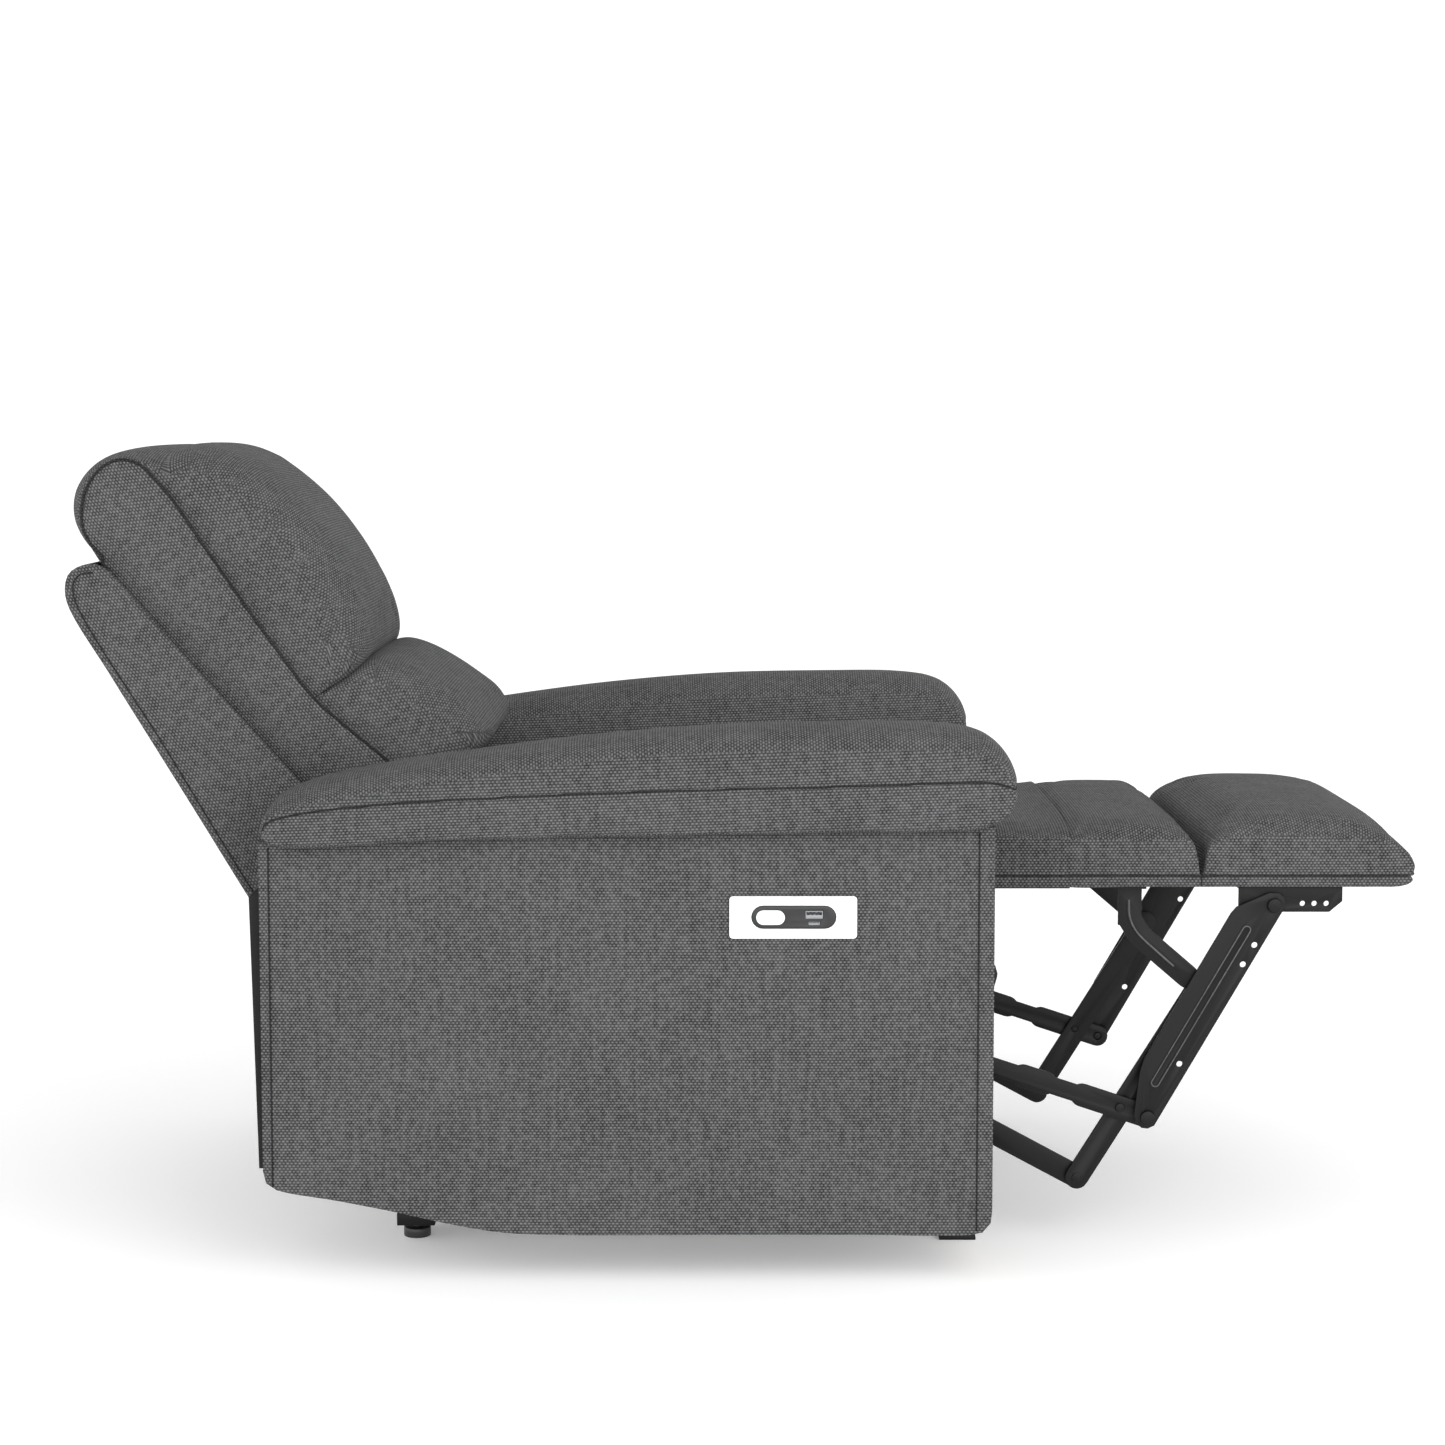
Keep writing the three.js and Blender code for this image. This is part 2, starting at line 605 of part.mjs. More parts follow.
add("head_cushion", pad([
  [-718, 820, -716, 824],
  [-650, 742, -645, 752],
  [-592, 678, -585, 690],
  [-568, 668, -540, 674],
  [-545, 674, -470, 686],
  [-524, 688, -434, 700],
  [-520, 704, -419, 712],
  [-530, 722, -420, 731],
  [-545, 744, -439, 780],
  [-565, 773, -470, 838],
  [-585, 803, -511, 895],
  [-608, 837, -566, 940],
  [-642, 888, -604, 956],
  [-663, 915, -642, 960],
  [-685, 936, -680, 961],
  [-708, 942, -712, 957],
  [-729, 934, -743, 945],
  [-747, 914, -766, 920],
  [-756, 888, -777, 891],
  [-755, 856, -772, 861],
  [-736, 826, -738, 826],
], -CUSHION_HALF, CUSHION_HALF, { points: 64, rings: 12 }), "fabric");
add("lumbar_cushion", pad([
  [-564, 652, -515, 650],
  [-555, 644, -540, 636],
  [-520, 608, -510, 608],
  [-474, 556, -462, 565],
  [-455, 545, -430, 556],
  [-420, 545, -355, 567],
  [-396, 552, -300, 585],
  [-388, 566, -268, 601],
  [-392, 580, -269, 616],
  [-420, 602, -286, 629],
  [-450, 628, -310, 646],
  [-483, 656, -350, 677],
  [-505, 672, -388, 696],
  [-522, 676, -418, 698],
  [-545, 664, -455, 682],
], -CUSHION_HALF, CUSHION_HALF, { points: 52, rings: 12 }), "fabric");

// The back frame: two side members and two cross members inside the shell, on brackets that reach the pivots.
const memberLow = [-455, 470];
const memberHigh = [-708, 782];
const memberInner = plateInner + 3.5;
const bracketOuter = memberInner + GAP;
const bracketInner = bracketOuter + PLATE;
function frameMember(s0, s1, n0, n1, y0, y1) {
  const corners = [[s0, n0], [s1, n0], [s1, n1], [s0, n1]];
  return prism(corners.map(([s, n]) => along(memberLow, memberHigh, s, n)), y0, y1);
}
add("back_frame", carve([
  frameMember(0, 396, -12, 14, -SHELL_HALF + 16, memberInner),
  frameMember(0, 396, -12, 14, -memberInner, SHELL_HALF - 16),
  frameMember(330, 392, -10, 12, memberInner - 1, 1 - memberInner),
  frameMember(90, 150, -10, 12, memberInner - 1, 1 - memberInner),
]), "timber");
addPair("back_bracket", carve([
  bar(BACK_PIVOT, [-440, 440], 34, bracketOuter, bracketInner),
  bar([-440, 440], [-472, 486], 34, bracketOuter, bracketInner),
], [hole(BACK_PIVOT, 6 + GAP)]), "steel");
addPair("back_pivot_bolt", carve([
  pin(BACK_PIVOT, 9, plateOuter - 6, plateOuter - GAP),
  pin(BACK_PIVOT, 6, plateOuter - 1, bracketInner + 5),
  pin(BACK_PIVOT, 9, bracketInner + GAP, bracketInner + 6),
]), "zinc");

export default chair;
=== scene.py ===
# %% [markdown]
# # A powered recliner armchair, dressed over its frame
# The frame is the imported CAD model: timber, steel links, a control panel, and plain stand-ins for the
# upholstery. Each soft stand-in is replaced here by cloth with seams and fill, and the hard parts get
# real finishes. Lengths are in metres, +X is towards the leg rest, +Y is the sitter's left, +Z is up.

# %% Load the frame
import json
import math

import bpy
import numpy as np
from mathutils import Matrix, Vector

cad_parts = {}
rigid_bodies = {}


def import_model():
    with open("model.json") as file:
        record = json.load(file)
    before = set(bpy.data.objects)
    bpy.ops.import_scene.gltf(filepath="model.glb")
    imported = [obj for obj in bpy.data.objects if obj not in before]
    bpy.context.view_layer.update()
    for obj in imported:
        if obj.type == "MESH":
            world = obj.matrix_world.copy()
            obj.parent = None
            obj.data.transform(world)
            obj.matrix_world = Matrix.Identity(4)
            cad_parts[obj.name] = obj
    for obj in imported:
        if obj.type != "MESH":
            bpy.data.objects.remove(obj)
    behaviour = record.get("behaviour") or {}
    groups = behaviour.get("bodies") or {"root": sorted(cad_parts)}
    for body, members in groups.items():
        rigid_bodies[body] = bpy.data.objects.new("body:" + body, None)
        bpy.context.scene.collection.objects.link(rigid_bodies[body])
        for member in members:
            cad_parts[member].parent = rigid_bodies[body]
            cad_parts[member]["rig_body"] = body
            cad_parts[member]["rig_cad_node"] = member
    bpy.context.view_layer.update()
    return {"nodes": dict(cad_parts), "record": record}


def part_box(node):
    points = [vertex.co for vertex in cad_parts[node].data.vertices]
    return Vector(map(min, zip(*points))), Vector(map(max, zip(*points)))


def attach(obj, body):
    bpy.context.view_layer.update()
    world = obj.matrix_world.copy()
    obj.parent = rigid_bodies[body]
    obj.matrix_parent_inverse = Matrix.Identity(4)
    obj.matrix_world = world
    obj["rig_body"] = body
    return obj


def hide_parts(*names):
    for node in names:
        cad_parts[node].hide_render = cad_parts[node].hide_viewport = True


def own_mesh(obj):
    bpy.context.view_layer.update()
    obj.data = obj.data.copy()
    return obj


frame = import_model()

# %% [markdown]
# ## The drawing's zero
# The outlines below are in the millimetres of the chair's own drawing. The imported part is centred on
# the whole chair, so the drawing's zero is found again from the front of a side panel, whose place is
# known in both. Widths across the chair are read from the nodes, so cloth and frame can't drift apart.

# %% Millimetres of the drawing to metres of the frame
MM = 0.001
PANEL_REAR, PANEL_FRONT = -526.6, 309.5
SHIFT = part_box("side_cover_right")[1].x - PANEL_FRONT * MM
SIDE_INNER = -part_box("side_cover_right")[1].y / MM
SIDE_OUTER = -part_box("side_cover_right")[0].y / MM
ARM_OUTER = -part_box("arm_pad_right")[0].y / MM
SHELL_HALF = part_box("back_shell")[1].y / MM
SEAT_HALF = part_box("seat_cushion")[1].y / MM
SIDES = (("right", -1), ("left", 1))  # the sitter's right is -Y


def spot(x, y, z):
    """A point of the drawing, in the frame."""
    return Vector((x * MM + SHIFT, y * MM, z * MM))


print("drawing zero at x =", round(SHIFT, 4), "and sides from", SIDE_INNER, "to", SIDE_OUTER, "mm")

# %% [markdown]
# ## Camera
# The chair is seen square from its right side by a long lens a little above it, tilted gently down,
# so both arms and the top of the back can be read at once. A long lens keeps the upright lines upright.

# %% Camera
CAMERA_PLACE = (0, -3850, 986.7)
TILT_DOWN = math.radians(5.675)

scene = bpy.context.scene
camera_data = bpy.data.cameras.new("camera")
camera_data.lens = 75.84
camera_data.sensor_width = 36.0
camera = bpy.data.objects.new("camera", camera_data)
scene.collection.objects.link(camera)
camera.location = spot(*CAMERA_PLACE)
camera.rotation_euler = (math.radians(90) - TILT_DOWN, 0, 0)
scene.camera = camera
print("camera at", [round(v, 2) for v in camera.location], "with a", round(camera_data.lens, 1), "mm lens")

# %% [markdown]
# ## Colours and nodes
# Paint and cloth are chosen as sRGB hex values. Shaders work in linear light, so one function turns
# them over. One more function adds a node, its settings and what goes into it.


# %% Colour and node helpers
def linear(code):
    """An sRGB hex colour such as "7f7f80", as linear red, green, blue and alpha."""
    parts = [int(code[i:i + 2], 16) / 255 for i in (0, 2, 4)]
    return [p / 12.92 if p <= 0.04045 else ((p + 0.055) / 1.055) ** 2.4 for p in parts] + [1.0]


def put(tree, kind, inputs=None, **settings):
    """Adds a node. Each input is a value, or an output socket to link from."""
    made = tree.nodes.new(kind)
    for name, value in settings.items():
        setattr(made, name, value)
    for socket, value in (inputs or {}).items():
        if isinstance(value, bpy.types.NodeSocket):
            tree.links.new(value, made.inputs[socket])
        else:
            made.inputs[socket].default_value = value
    return made


def finish_for(name, code, roughness, **constants):
    """A material with its colour and fixed shader values set on the shader's own sockets."""
    made = bpy.data.materials.new(name)
    made.use_nodes = True
    made.diffuse_color = linear(code)
    shader = made.node_tree.nodes["Principled BSDF"]
    shader.inputs["Base Color"].default_value = linear(code)
    shader.inputs["Roughness"].default_value = roughness
    for socket, value in constants.items():
        shader.inputs[socket.replace("_", " ")].default_value = value
    return made, made.node_tree, shader


def between(tree, low, high, share):
    """A colour from low to high, by share."""
    mix = put(tree, "ShaderNodeMix", {0: share}, data_type="RGBA")
    mix.inputs[6].default_value = linear(low)
    mix.inputs[7].default_value = linear(high)
    return mix.outputs[2]


print("mid grey 7f7f7f is", round(linear("7f7f7f")[0], 3), "in linear light")

# %% [markdown]
# ## Floor and light
# A pale floor under a white sky gives the even light of a product studio, with a soft shadow that
# gathers under the chair. A backdrop could be curved up behind, but a wide floor is enough here. The
# sky is stronger behind the camera than behind the chair, as with large studio lamps, and it fades
# overhead, so the sides stay as light as the tops. One wide lamp lifts the side that faces the camera.

# %% Floor
FLOOR_SIZE = 40
FLOOR_GLOW = 0.21  # a little light of its own, so that the floor burns out to white

bpy.ops.object.select_all(action="DESELECT")
bpy.ops.mesh.primitive_plane_add(size=FLOOR_SIZE, location=(0, 0, 0))
floor = bpy.context.object
floor.name = "floor"
floor_finish, floor_tree, floor_shader = finish_for(
    "pale_floor_paint", "fafafa", 0.9, Emission_Color=(1, 1, 1, 1), Emission_Strength=FLOOR_GLOW)
floor_noise = put(floor_tree, "ShaderNodeTexNoise", {"Scale": 2.0})
floor_tree.links.new(between(floor_tree, "f8f8f8", "fcfcfc", floor_noise.outputs["Fac"]),
                     floor_shader.inputs["Base Color"])
floor.data.materials.append(floor_finish)
print("floor of", FLOOR_SIZE, "m")

# %% Sky
SKY_NEAR, SKY_FAR = 2.9, 1.15  # strength behind the camera, and behind the chair
SKY_FADE = (0.14, 0.8)  # the heights of view between which the sky fades
SKY_TOP = 0.3  # what is left of it overhead

sky = bpy.data.worlds.new("studio")
scene.world = sky
sky.use_nodes = True
sky_tree = sky.node_tree
sky_shader = sky_tree.nodes["Background"]
looking = put(sky_tree, "ShaderNodeTexCoord").outputs["Generated"]
parted = put(sky_tree, "ShaderNodeSeparateXYZ", {0: looking})
behind = put(sky_tree, "ShaderNodeMapRange", {
    "Value": parted.outputs[1], "From Min": -1.0, "From Max": 1.0,
    "To Min": SKY_NEAR, "To Max": SKY_FAR}).outputs[0]
overhead = put(sky_tree, "ShaderNodeMapRange", {
    "Value": parted.outputs[2], "From Min": SKY_FADE[0], "From Max": SKY_FADE[1],
    "To Min": 1.0, "To Max": SKY_TOP}, interpolation_type="SMOOTHSTEP").outputs[0]
strength = put(sky_tree, "ShaderNodeMath", {0: behind, 1: overhead}, operation="MULTIPLY")
sky_tree.links.new(strength.outputs[0], sky_shader.inputs["Strength"])
sky_shader.inputs["Color"].default_value = (1, 1, 1, 1)
scene.view_settings.view_transform = "Standard"
print("sky from", SKY_NEAR, "behind the camera to", SKY_FAR, "behind the chair")

# %% Lamp
LAMP_PLACE = Vector((1.7, -3.2, 2.5))
LAMP_AIM = Vector((0, 0, 0.4))
LAMP_SIZE = 2.5
LAMP_WATTS = 40

lamp_data = bpy.data.lights.new("key", "AREA")
lamp_data.size = LAMP_SIZE
lamp_data.energy = LAMP_WATTS
lamp = bpy.data.objects.new("key", lamp_data)
scene.collection.objects.link(lamp)
lamp.location = LAMP_PLACE
lamp.rotation_euler = (LAMP_AIM - LAMP_PLACE).to_track_quat("-Z", "Y").to_euler()
print("lamp of", LAMP_WATTS, "W, by the leg rest")

# %% [markdown]
# ## The upholstery cloth
# A polyester linen-look weave: thick threads go over and under, so the eye sees staggered beads about
# 4 mm wide and 2.7 mm high, with dark gaps. They are drawn an eighth coarser, so that they show. It
# could be a real mesh of threads, but a chair has half a million beads, so they are drawn by
# arithmetic on a UV map in metres, which follows the cloth round each pad. Each bead has its own grey,
# slubs run along the thread, and the same beads push the normal. Matt fibre hardly shines, so the
# sheen and the specular level are low.

# %% The weave's measures
THREAD_PITCH = (4.6 * MM, 3.2 * MM)  # one bead, along and across the thread
BEAD_RELIEF = 0.8 * MM
BEAD_SHARE, CHANCE_SHARE, SLUB_SHARE, WEAR_SHARE = 1.02, 0.2, 0.3, 0.2  # of the step between two greys
SLUBS_PER_METRE = (240.0, 14.0, 1.0)
WEAR_PER_METRE = 7.0
print("cloth beads:", [round(p / MM, 1) for p in THREAD_PITCH], "mm")


# %% Woven upholstery
def weave(name, gap, thread):
    """Cloth of beads between two greys, on the UV map named cloth."""
    made, tree, shader = finish_for(name, thread, 0.93, Sheen_Weight=0.03, Sheen_Roughness=0.5,
                                    Specular_IOR_Level=0.12)
    place = put(tree, "ShaderNodeUVMap", uv_map="cloth").outputs[0]
    split = put(tree, "ShaderNodeSeparateXYZ", {0: place})

    def calc(operation, a, b=0.0):
        return put(tree, "ShaderNodeMath", {0: a, 1: b}, operation=operation).outputs[0]

    across = calc("DIVIDE", split.outputs[0], THREAD_PITCH[0])
    along = calc("DIVIDE", split.outputs[1], THREAD_PITCH[1])
    row = calc("FLOOR", along)
    shifted = calc("ADD", across, calc("MULTIPLY", row, 0.5))  # each row starts half a bead on
    column = calc("FLOOR", shifted)
    round_x = calc("PINGPONG", shifted, 0.5)
    round_y = calc("PINGPONG", along, 0.5)
    bead = calc("POWER", calc("MULTIPLY", calc("MULTIPLY", round_x, round_y), 4.0), 0.8)
    cell = put(tree, "ShaderNodeCombineXYZ", {0: column, 1: row}).outputs[0]
    chance = put(tree, "ShaderNodeTexWhiteNoise", {"Vector": cell}, noise_dimensions="2D").outputs[0]
    slub_place = put(tree, "ShaderNodeMapping", {"Vector": place, "Scale": SLUBS_PER_METRE})
    slub = put(tree, "ShaderNodeTexNoise", {"Vector": slub_place.outputs[0], "Scale": 1.0, "Detail": 2.0})
    wear = put(tree, "ShaderNodeTexNoise", {"Vector": place, "Scale": WEAR_PER_METRE, "Detail": 3.0})
    share = calc("ADD", calc("MULTIPLY", bead, BEAD_SHARE), calc("MULTIPLY", chance, CHANCE_SHARE))
    for noise, amount in ((slub, SLUB_SHARE), (wear, WEAR_SHARE)):
        centred = calc("SUBTRACT", noise.outputs["Fac"], 0.5)
        share = calc("ADD", share, calc("MULTIPLY", centred, amount))
    tree.links.new(between(tree, gap, thread, share), shader.inputs["Base Color"])
    bump = put(tree, "ShaderNodeBump", {"Strength": 0.8, "Distance": BEAD_RELIEF, "Height": bead})
    tree.links.new(bump.outputs[0], shader.inputs["Normal"])
    return made


CLOTH = weave("linen_look_polyester", "171718", "747475")
# The cords are the pads' own cloth, drawn darker: painted shade in the seam dips.
SEAM_SHADE_WEAVE = weave("piping_with_painted_seam_shade", "161617", "3a3a3b")
print("cloths:", CLOTH.name, "and", SEAM_SHADE_WEAVE.name)

# %% [markdown]
# ## The hard finishes
# Powder-coated steel has a fine orange peel. A pressed rib catches a bright line of light, and that
# line is a painted highlight: the ribs get a lighter paint with a stronger shine. Zinc plate is bright
# and slightly brushed. Moulded ABS is smooth with a faint spark texture, white for the panel and black
# for its insert. The frame is birch plywood, and the underside is closed by a black spun-bonded lining
# with pressed dots. All of them are grain of some size over a broad unevenness, so one function makes
# each from its own sizes.


# %% A grained finish
def grained(name, low, high, roughness, size, depth, stretch=(1, 1, 1), spread=0.08, **constants):
    """A finish with noise of the given grain size in its colour, roughness and normal."""
    made, tree, shader = finish_for(name, high, roughness, **constants)
    place = put(tree, "ShaderNodeTexCoord").outputs["Object"]
    grain = put(tree, "ShaderNodeMapping", {"Vector": place, "Scale": stretch}).outputs[0]
    fine = put(tree, "ShaderNodeTexNoise", {"Vector": grain, "Scale": 1 / size, "Detail": 3.0})
    broad = put(tree, "ShaderNodeTexNoise", {"Vector": place, "Scale": 9.0, "Detail": 2.0})
    fine = fine.outputs["Fac"]
    both = put(tree, "ShaderNodeMath", {0: fine, 1: broad.outputs["Fac"]}, operation="MULTIPLY")
    share = put(tree, "ShaderNodeMath", {0: both.outputs[0], 1: 2.0}, operation="MULTIPLY").outputs[0]
    tree.links.new(between(tree, low, high, share), shader.inputs["Base Color"])
    rough = put(tree, "ShaderNodeMapRange", {
        "Value": fine, "To Min": roughness - spread, "To Max": roughness + spread})
    tree.links.new(rough.outputs[0], shader.inputs["Roughness"])
    bump = put(tree, "ShaderNodeBump", {"Strength": 0.3, "Distance": depth, "Height": fine})
    tree.links.new(bump.outputs[0], shader.inputs["Normal"])
    return made


# %% Steel, zinc, plastic, plywood and lining
STEEL = grained("black_powder_coated_steel", "09090a", "121213", 0.45, 1.4 * MM, 0.15 * MM,
                Specular_IOR_Level=0.24)
ZINC = grained("zinc_plated_steel", "8d9094", "b4b6b8", 0.34, 0.8 * MM, 0.05 * MM, (1, 1, 6), Metallic=1.0)
WHITE = grained("white_moulded_abs", "f1f1f1", "fafafa", 0.32, 0.6 * MM, 0.02 * MM, spread=0.04)
BLACK = grained("black_moulded_abs", "1c1c1d", "29292a", 0.38, 0.6 * MM, 0.03 * MM, spread=0.05)
PLY = grained("birch_plywood", "9c7444", "caa06c", 0.62, 3 * MM, 0.2 * MM, (1, 1, 14))
# The ribs' lighter colour is a painted highlight, the line of light along each rib.
RIB_HIGHLIGHT_PAINT = grained("steel_with_painted_rib_highlight", "1c1c1d", "5c5c5e", 0.3, 5 * MM, 0.05 * MM,
                 Specular_IOR_Level=0.6)
LINING = grained("spun_bonded_lining", "0e0e0f", "222223", 0.88, 2.2 * MM, 0.5 * MM)
print("finishes:", ", ".join(m.name for m in bpy.data.materials))

# %% [markdown]
# ## Drawing an outline
# Pattern pieces are cut to smooth curves. A Bezier curve object would do, but its points bunch up
# where it bends. Here a curve goes through a few drawn points, and points are set evenly along it, so
# two outlines with as many points can be blended into each other.


# %% A smooth line through drawn points
def smooth_line(points, count, closed=False):
    """count points, evenly spaced, on a smooth curve through the given ones."""
    pts = np.array(points, float)
    if closed:
        pts = np.vstack([pts[-1], pts, pts[:2]])
    else:
        pts = np.vstack([2 * pts[0] - pts[1], pts, 2 * pts[-1] - pts[-2]])
    t = np.linspace(0, 1, 20, endpoint=False)[:, None]
    fine = []
    for a, b, c, d in zip(pts, pts[1:], pts[2:], pts[3:]):
        ab, bc, cd = (np.linalg.norm(q - p) ** 0.5 for p, q in ((a, b), (b, c), (c, d)))
        leave = bc * ((b - a) / ab - (c - a) / (ab + bc) + (c - b) / bc)
        reach = bc * ((c - b) / bc - (d - b) / (bc + cd) + (d - c) / cd)
        fine.append((2 * t**3 - 3 * t**2 + 1) * b + (t**3 - 2 * t**2 + t) * leave
                    + (3 * t**2 - 2 * t**3) * c + (t**3 - t**2) * reach)
    fine = np.vstack(fine + [pts[-2][None, :]])
    walked = np.concatenate([[0], np.cumsum(np.linalg.norm(np.diff(fine, axis=0), axis=1))])
    stops = np.linspace(0, walked[-1], count + 1 if closed else count)
    line = np.stack([np.interp(stops, walked, fine[:, k]) for k in range(fine.shape[1])], axis=1)
    return line[:-1] if closed else line


print("a line of", len(smooth_line([(0, 0), (1, 1), (2, 0)], 9)), "points through 3")

# %% [markdown]
# ## Rolling a pad up
# Every pad below begins as a grid. Rolled up, its rows become rings round the pad's outline, one
# behind the other across the chair, and the two open ends are filled. A cube could be cut and pulled
# into each outline, but the grid gives even faces, which modifiers and simulation like.


# %% Selecting, reading and moving points
def only(piece):
    """Selects this piece alone and makes it active."""
    bpy.ops.object.select_all(action="DESELECT")
    piece.select_set(True)
    bpy.context.view_layer.objects.active = piece


def coordinates(piece):
    """Every point of a piece."""
    co = np.zeros(len(piece.data.vertices) * 3)
    piece.data.vertices.foreach_get("co", co)
    return co.reshape(-1, 3)


def normals(piece):
    """The direction that the skin faces at every point."""
    normal = np.zeros(len(piece.data.vertices) * 3)
    piece.data.vertices.foreach_get("normal", normal)
    return normal.reshape(-1, 3)


def move_to(piece, co):
    """Puts every point in its new place."""
    piece.data.vertices.foreach_set("co", np.asarray(co, float).ravel())
    piece.data.update()


# %% The grid, welded and rolled
def laid_out(name, rows):
    """A grid whose rows of points go where the given rows are."""
    bpy.ops.object.select_all(action="DESELECT")
    bpy.ops.mesh.primitive_grid_add(x_subdivisions=len(rows[0]) - 1, y_subdivisions=len(rows) - 1, size=1)
    piece = bpy.context.object
    piece.name = name
    move_to(piece, [p for row in rows for p in row])
    return piece


def welded(piece, fill=False):
    """Merges points that meet, fills open ends if asked, and turns the faces outwards."""
    bpy.ops.object.mode_set(mode="EDIT")
    bpy.ops.mesh.select_all(action="SELECT")
    bpy.ops.mesh.remove_doubles(threshold=1e-6)
    if fill:
        bpy.ops.mesh.select_all(action="SELECT")
        bpy.ops.mesh.fill_holes(sides=0)
        bpy.ops.mesh.select_all(action="SELECT")
    bpy.ops.mesh.normals_make_consistent(inside=False)
    bpy.ops.object.mode_set(mode="OBJECT")
    return piece


def rolled(name, rings):
    """A closed solid whose skin passes through the rings, each a list of points."""
    return welded(laid_out(name, [[*ring, ring[0]] for ring in rings]), fill=True)


def ring_at(outline, y):
    """An outline of the drawing, set across the chair at y."""
    return [spot(x, y, z) for x, z in outline]


# %% Modifiers and open faces
SHARP = math.radians(50)  # an arris sharper than this is rounded


def applied(piece, kind, **settings):
    """Adds a modifier to the piece and applies it."""
    only(piece)
    made = piece.modifiers.new(kind.lower(), kind)
    for name, value in settings.items():
        setattr(made, name, value)
    bpy.ops.object.modifier_apply(modifier=made.name)
    return piece


def softened(piece, width, segments=4, limit=SHARP, smooth=math.radians(40)):
    """Rounds the arrises of a piece by a bevel of width millimetres."""
    applied(piece, "BEVEL", width=width * MM, segments=segments, limit_method="ANGLE", angle_limit=limit)
    bpy.ops.object.shade_smooth_by_angle(angle=smooth)


def open_face(piece, wanted):
    """Deletes the faces whose normal is wanted."""
    only(piece)
    bpy.ops.object.mode_set(mode="EDIT")
    bpy.ops.mesh.select_mode(type="FACE")
    bpy.ops.mesh.select_all(action="DESELECT")
    bpy.ops.object.mode_set(mode="OBJECT")
    for face in piece.data.polygons:
        face.select = bool(wanted(face.normal))
    bpy.ops.object.mode_set(mode="EDIT")
    bpy.ops.mesh.delete(type="FACE")
    bpy.ops.object.mode_set(mode="OBJECT")


# %% [markdown]
# ## Filling a pad
# A padded form starts a little small. Its skin is remeshed into even cells, cloth simulation blows it
# up with air pressure while the seams are held, and no point may go further than a set swell. That
# gives the soft, uneven crown that a straight loft lacks.


# %% The rings of a pad
def pad_rings(edge, middle, y0, y1, count=18, power=4.0):
    """Rings from one end of a pad to the other: the edge outline grows into the middle one."""
    a = smooth_line(edge, 96, closed=True)
    b = smooth_line(middle, 96, closed=True)
    rings = []
    for i in range(count + 1):
        u = -math.cos(math.pi * i / count)
        rise = max(0.0, 1 - abs(u) ** power) ** 0.5
        y = (y0 + y1) / 2 + u * (y1 - y0) / 2
        rings.append(ring_at(a + (b - a) * rise, y))
    return rings


# %% Drawing the free skin in
DRAWN_IN = 0.25  # share of the swell that the free skin starts inside its outline
SPREAD_ROUNDS = 8


def shared(piece, share):
    """A share at each point, spread softly over its neighbours."""
    count = len(piece.data.vertices)
    ends = np.zeros(len(piece.data.edges) * 2, int)
    piece.data.edges.foreach_get("vertices", ends)
    a, b = ends.reshape(-1, 2).T
    near = np.bincount(a, minlength=count) + np.bincount(b, minlength=count)
    for _ in range(SPREAD_ROUNDS):
        total = np.bincount(a, share[b], count) + np.bincount(b, share[a], count)
        share = 0.5 * share + 0.5 * total / near
    return share


def drawn_in(piece, free, depth):
    """Moves the free skin inwards by depth, fading towards the held skin."""
    move_to(piece, coordinates(piece) - normals(piece) * (depth * shared(piece, free))[:, None])


# %% Blowing a pad up
AIR_PRESSURE = 4.0
LAST_STEP = 20


def blown_up(piece, swell, held):
    """Cloth simulation with air inside; no point moves further than swell."""
    drawn_in(piece, 1.0 - held(coordinates(piece)), DRAWN_IN * swell)
    start = coordinates(piece)
    still = piece.vertex_groups.new(name="held")
    still.add([int(i) for i in np.flatnonzero(held(start))], 1.0, "REPLACE")
    cloth = piece.modifiers.new("cloth", "CLOTH")
    cloth.settings.use_pressure = True
    cloth.settings.uniform_pressure_force = AIR_PRESSURE
    cloth.settings.effector_weights.gravity = 0
    cloth.settings.vertex_group_mass = "held"
    cloth.collision_settings.use_collision = False
    cloth.point_cache.frame_start = 1
    cloth.point_cache.frame_end = LAST_STEP
    for step in range(1, LAST_STEP + 1):
        scene.frame_set(step)
    only(piece)
    bpy.ops.object.modifier_apply(modifier="cloth")
    moved = coordinates(piece) - start
    far = np.linalg.norm(moved, axis=1, keepdims=True) + 1e-9
    move_to(piece, start + moved * (swell * np.tanh(far / swell) / far))
    piece.vertex_groups.clear()
    scene.frame_set(1)
    print(piece.name, "swelled by up to", round(float(far.max()) / MM, 1), "mm, kept to", swell / MM)


def plump(piece, cell, swell, held):
    """Remeshes a form, blows it up where it isn't held, and refines it once."""
    applied(piece, "REMESH", mode="VOXEL", voxel_size=cell)
    applied(piece, "SMOOTH", factor=0.5, iterations=8)
    blown_up(piece, swell, held)
    applied(piece, "SUBSURF", levels=1, render_levels=1)
    only(piece)
    bpy.ops.object.shade_smooth()


# %% [markdown]
# ## Laying the cloth
# The weave reads a UV map in metres. Unwrapping by seams would stretch it, so it is written directly:
# round a pad it is the length along a guide line and the distance across the chair, and on the flat
# ends it is the two directions of that end, so threads stay square.


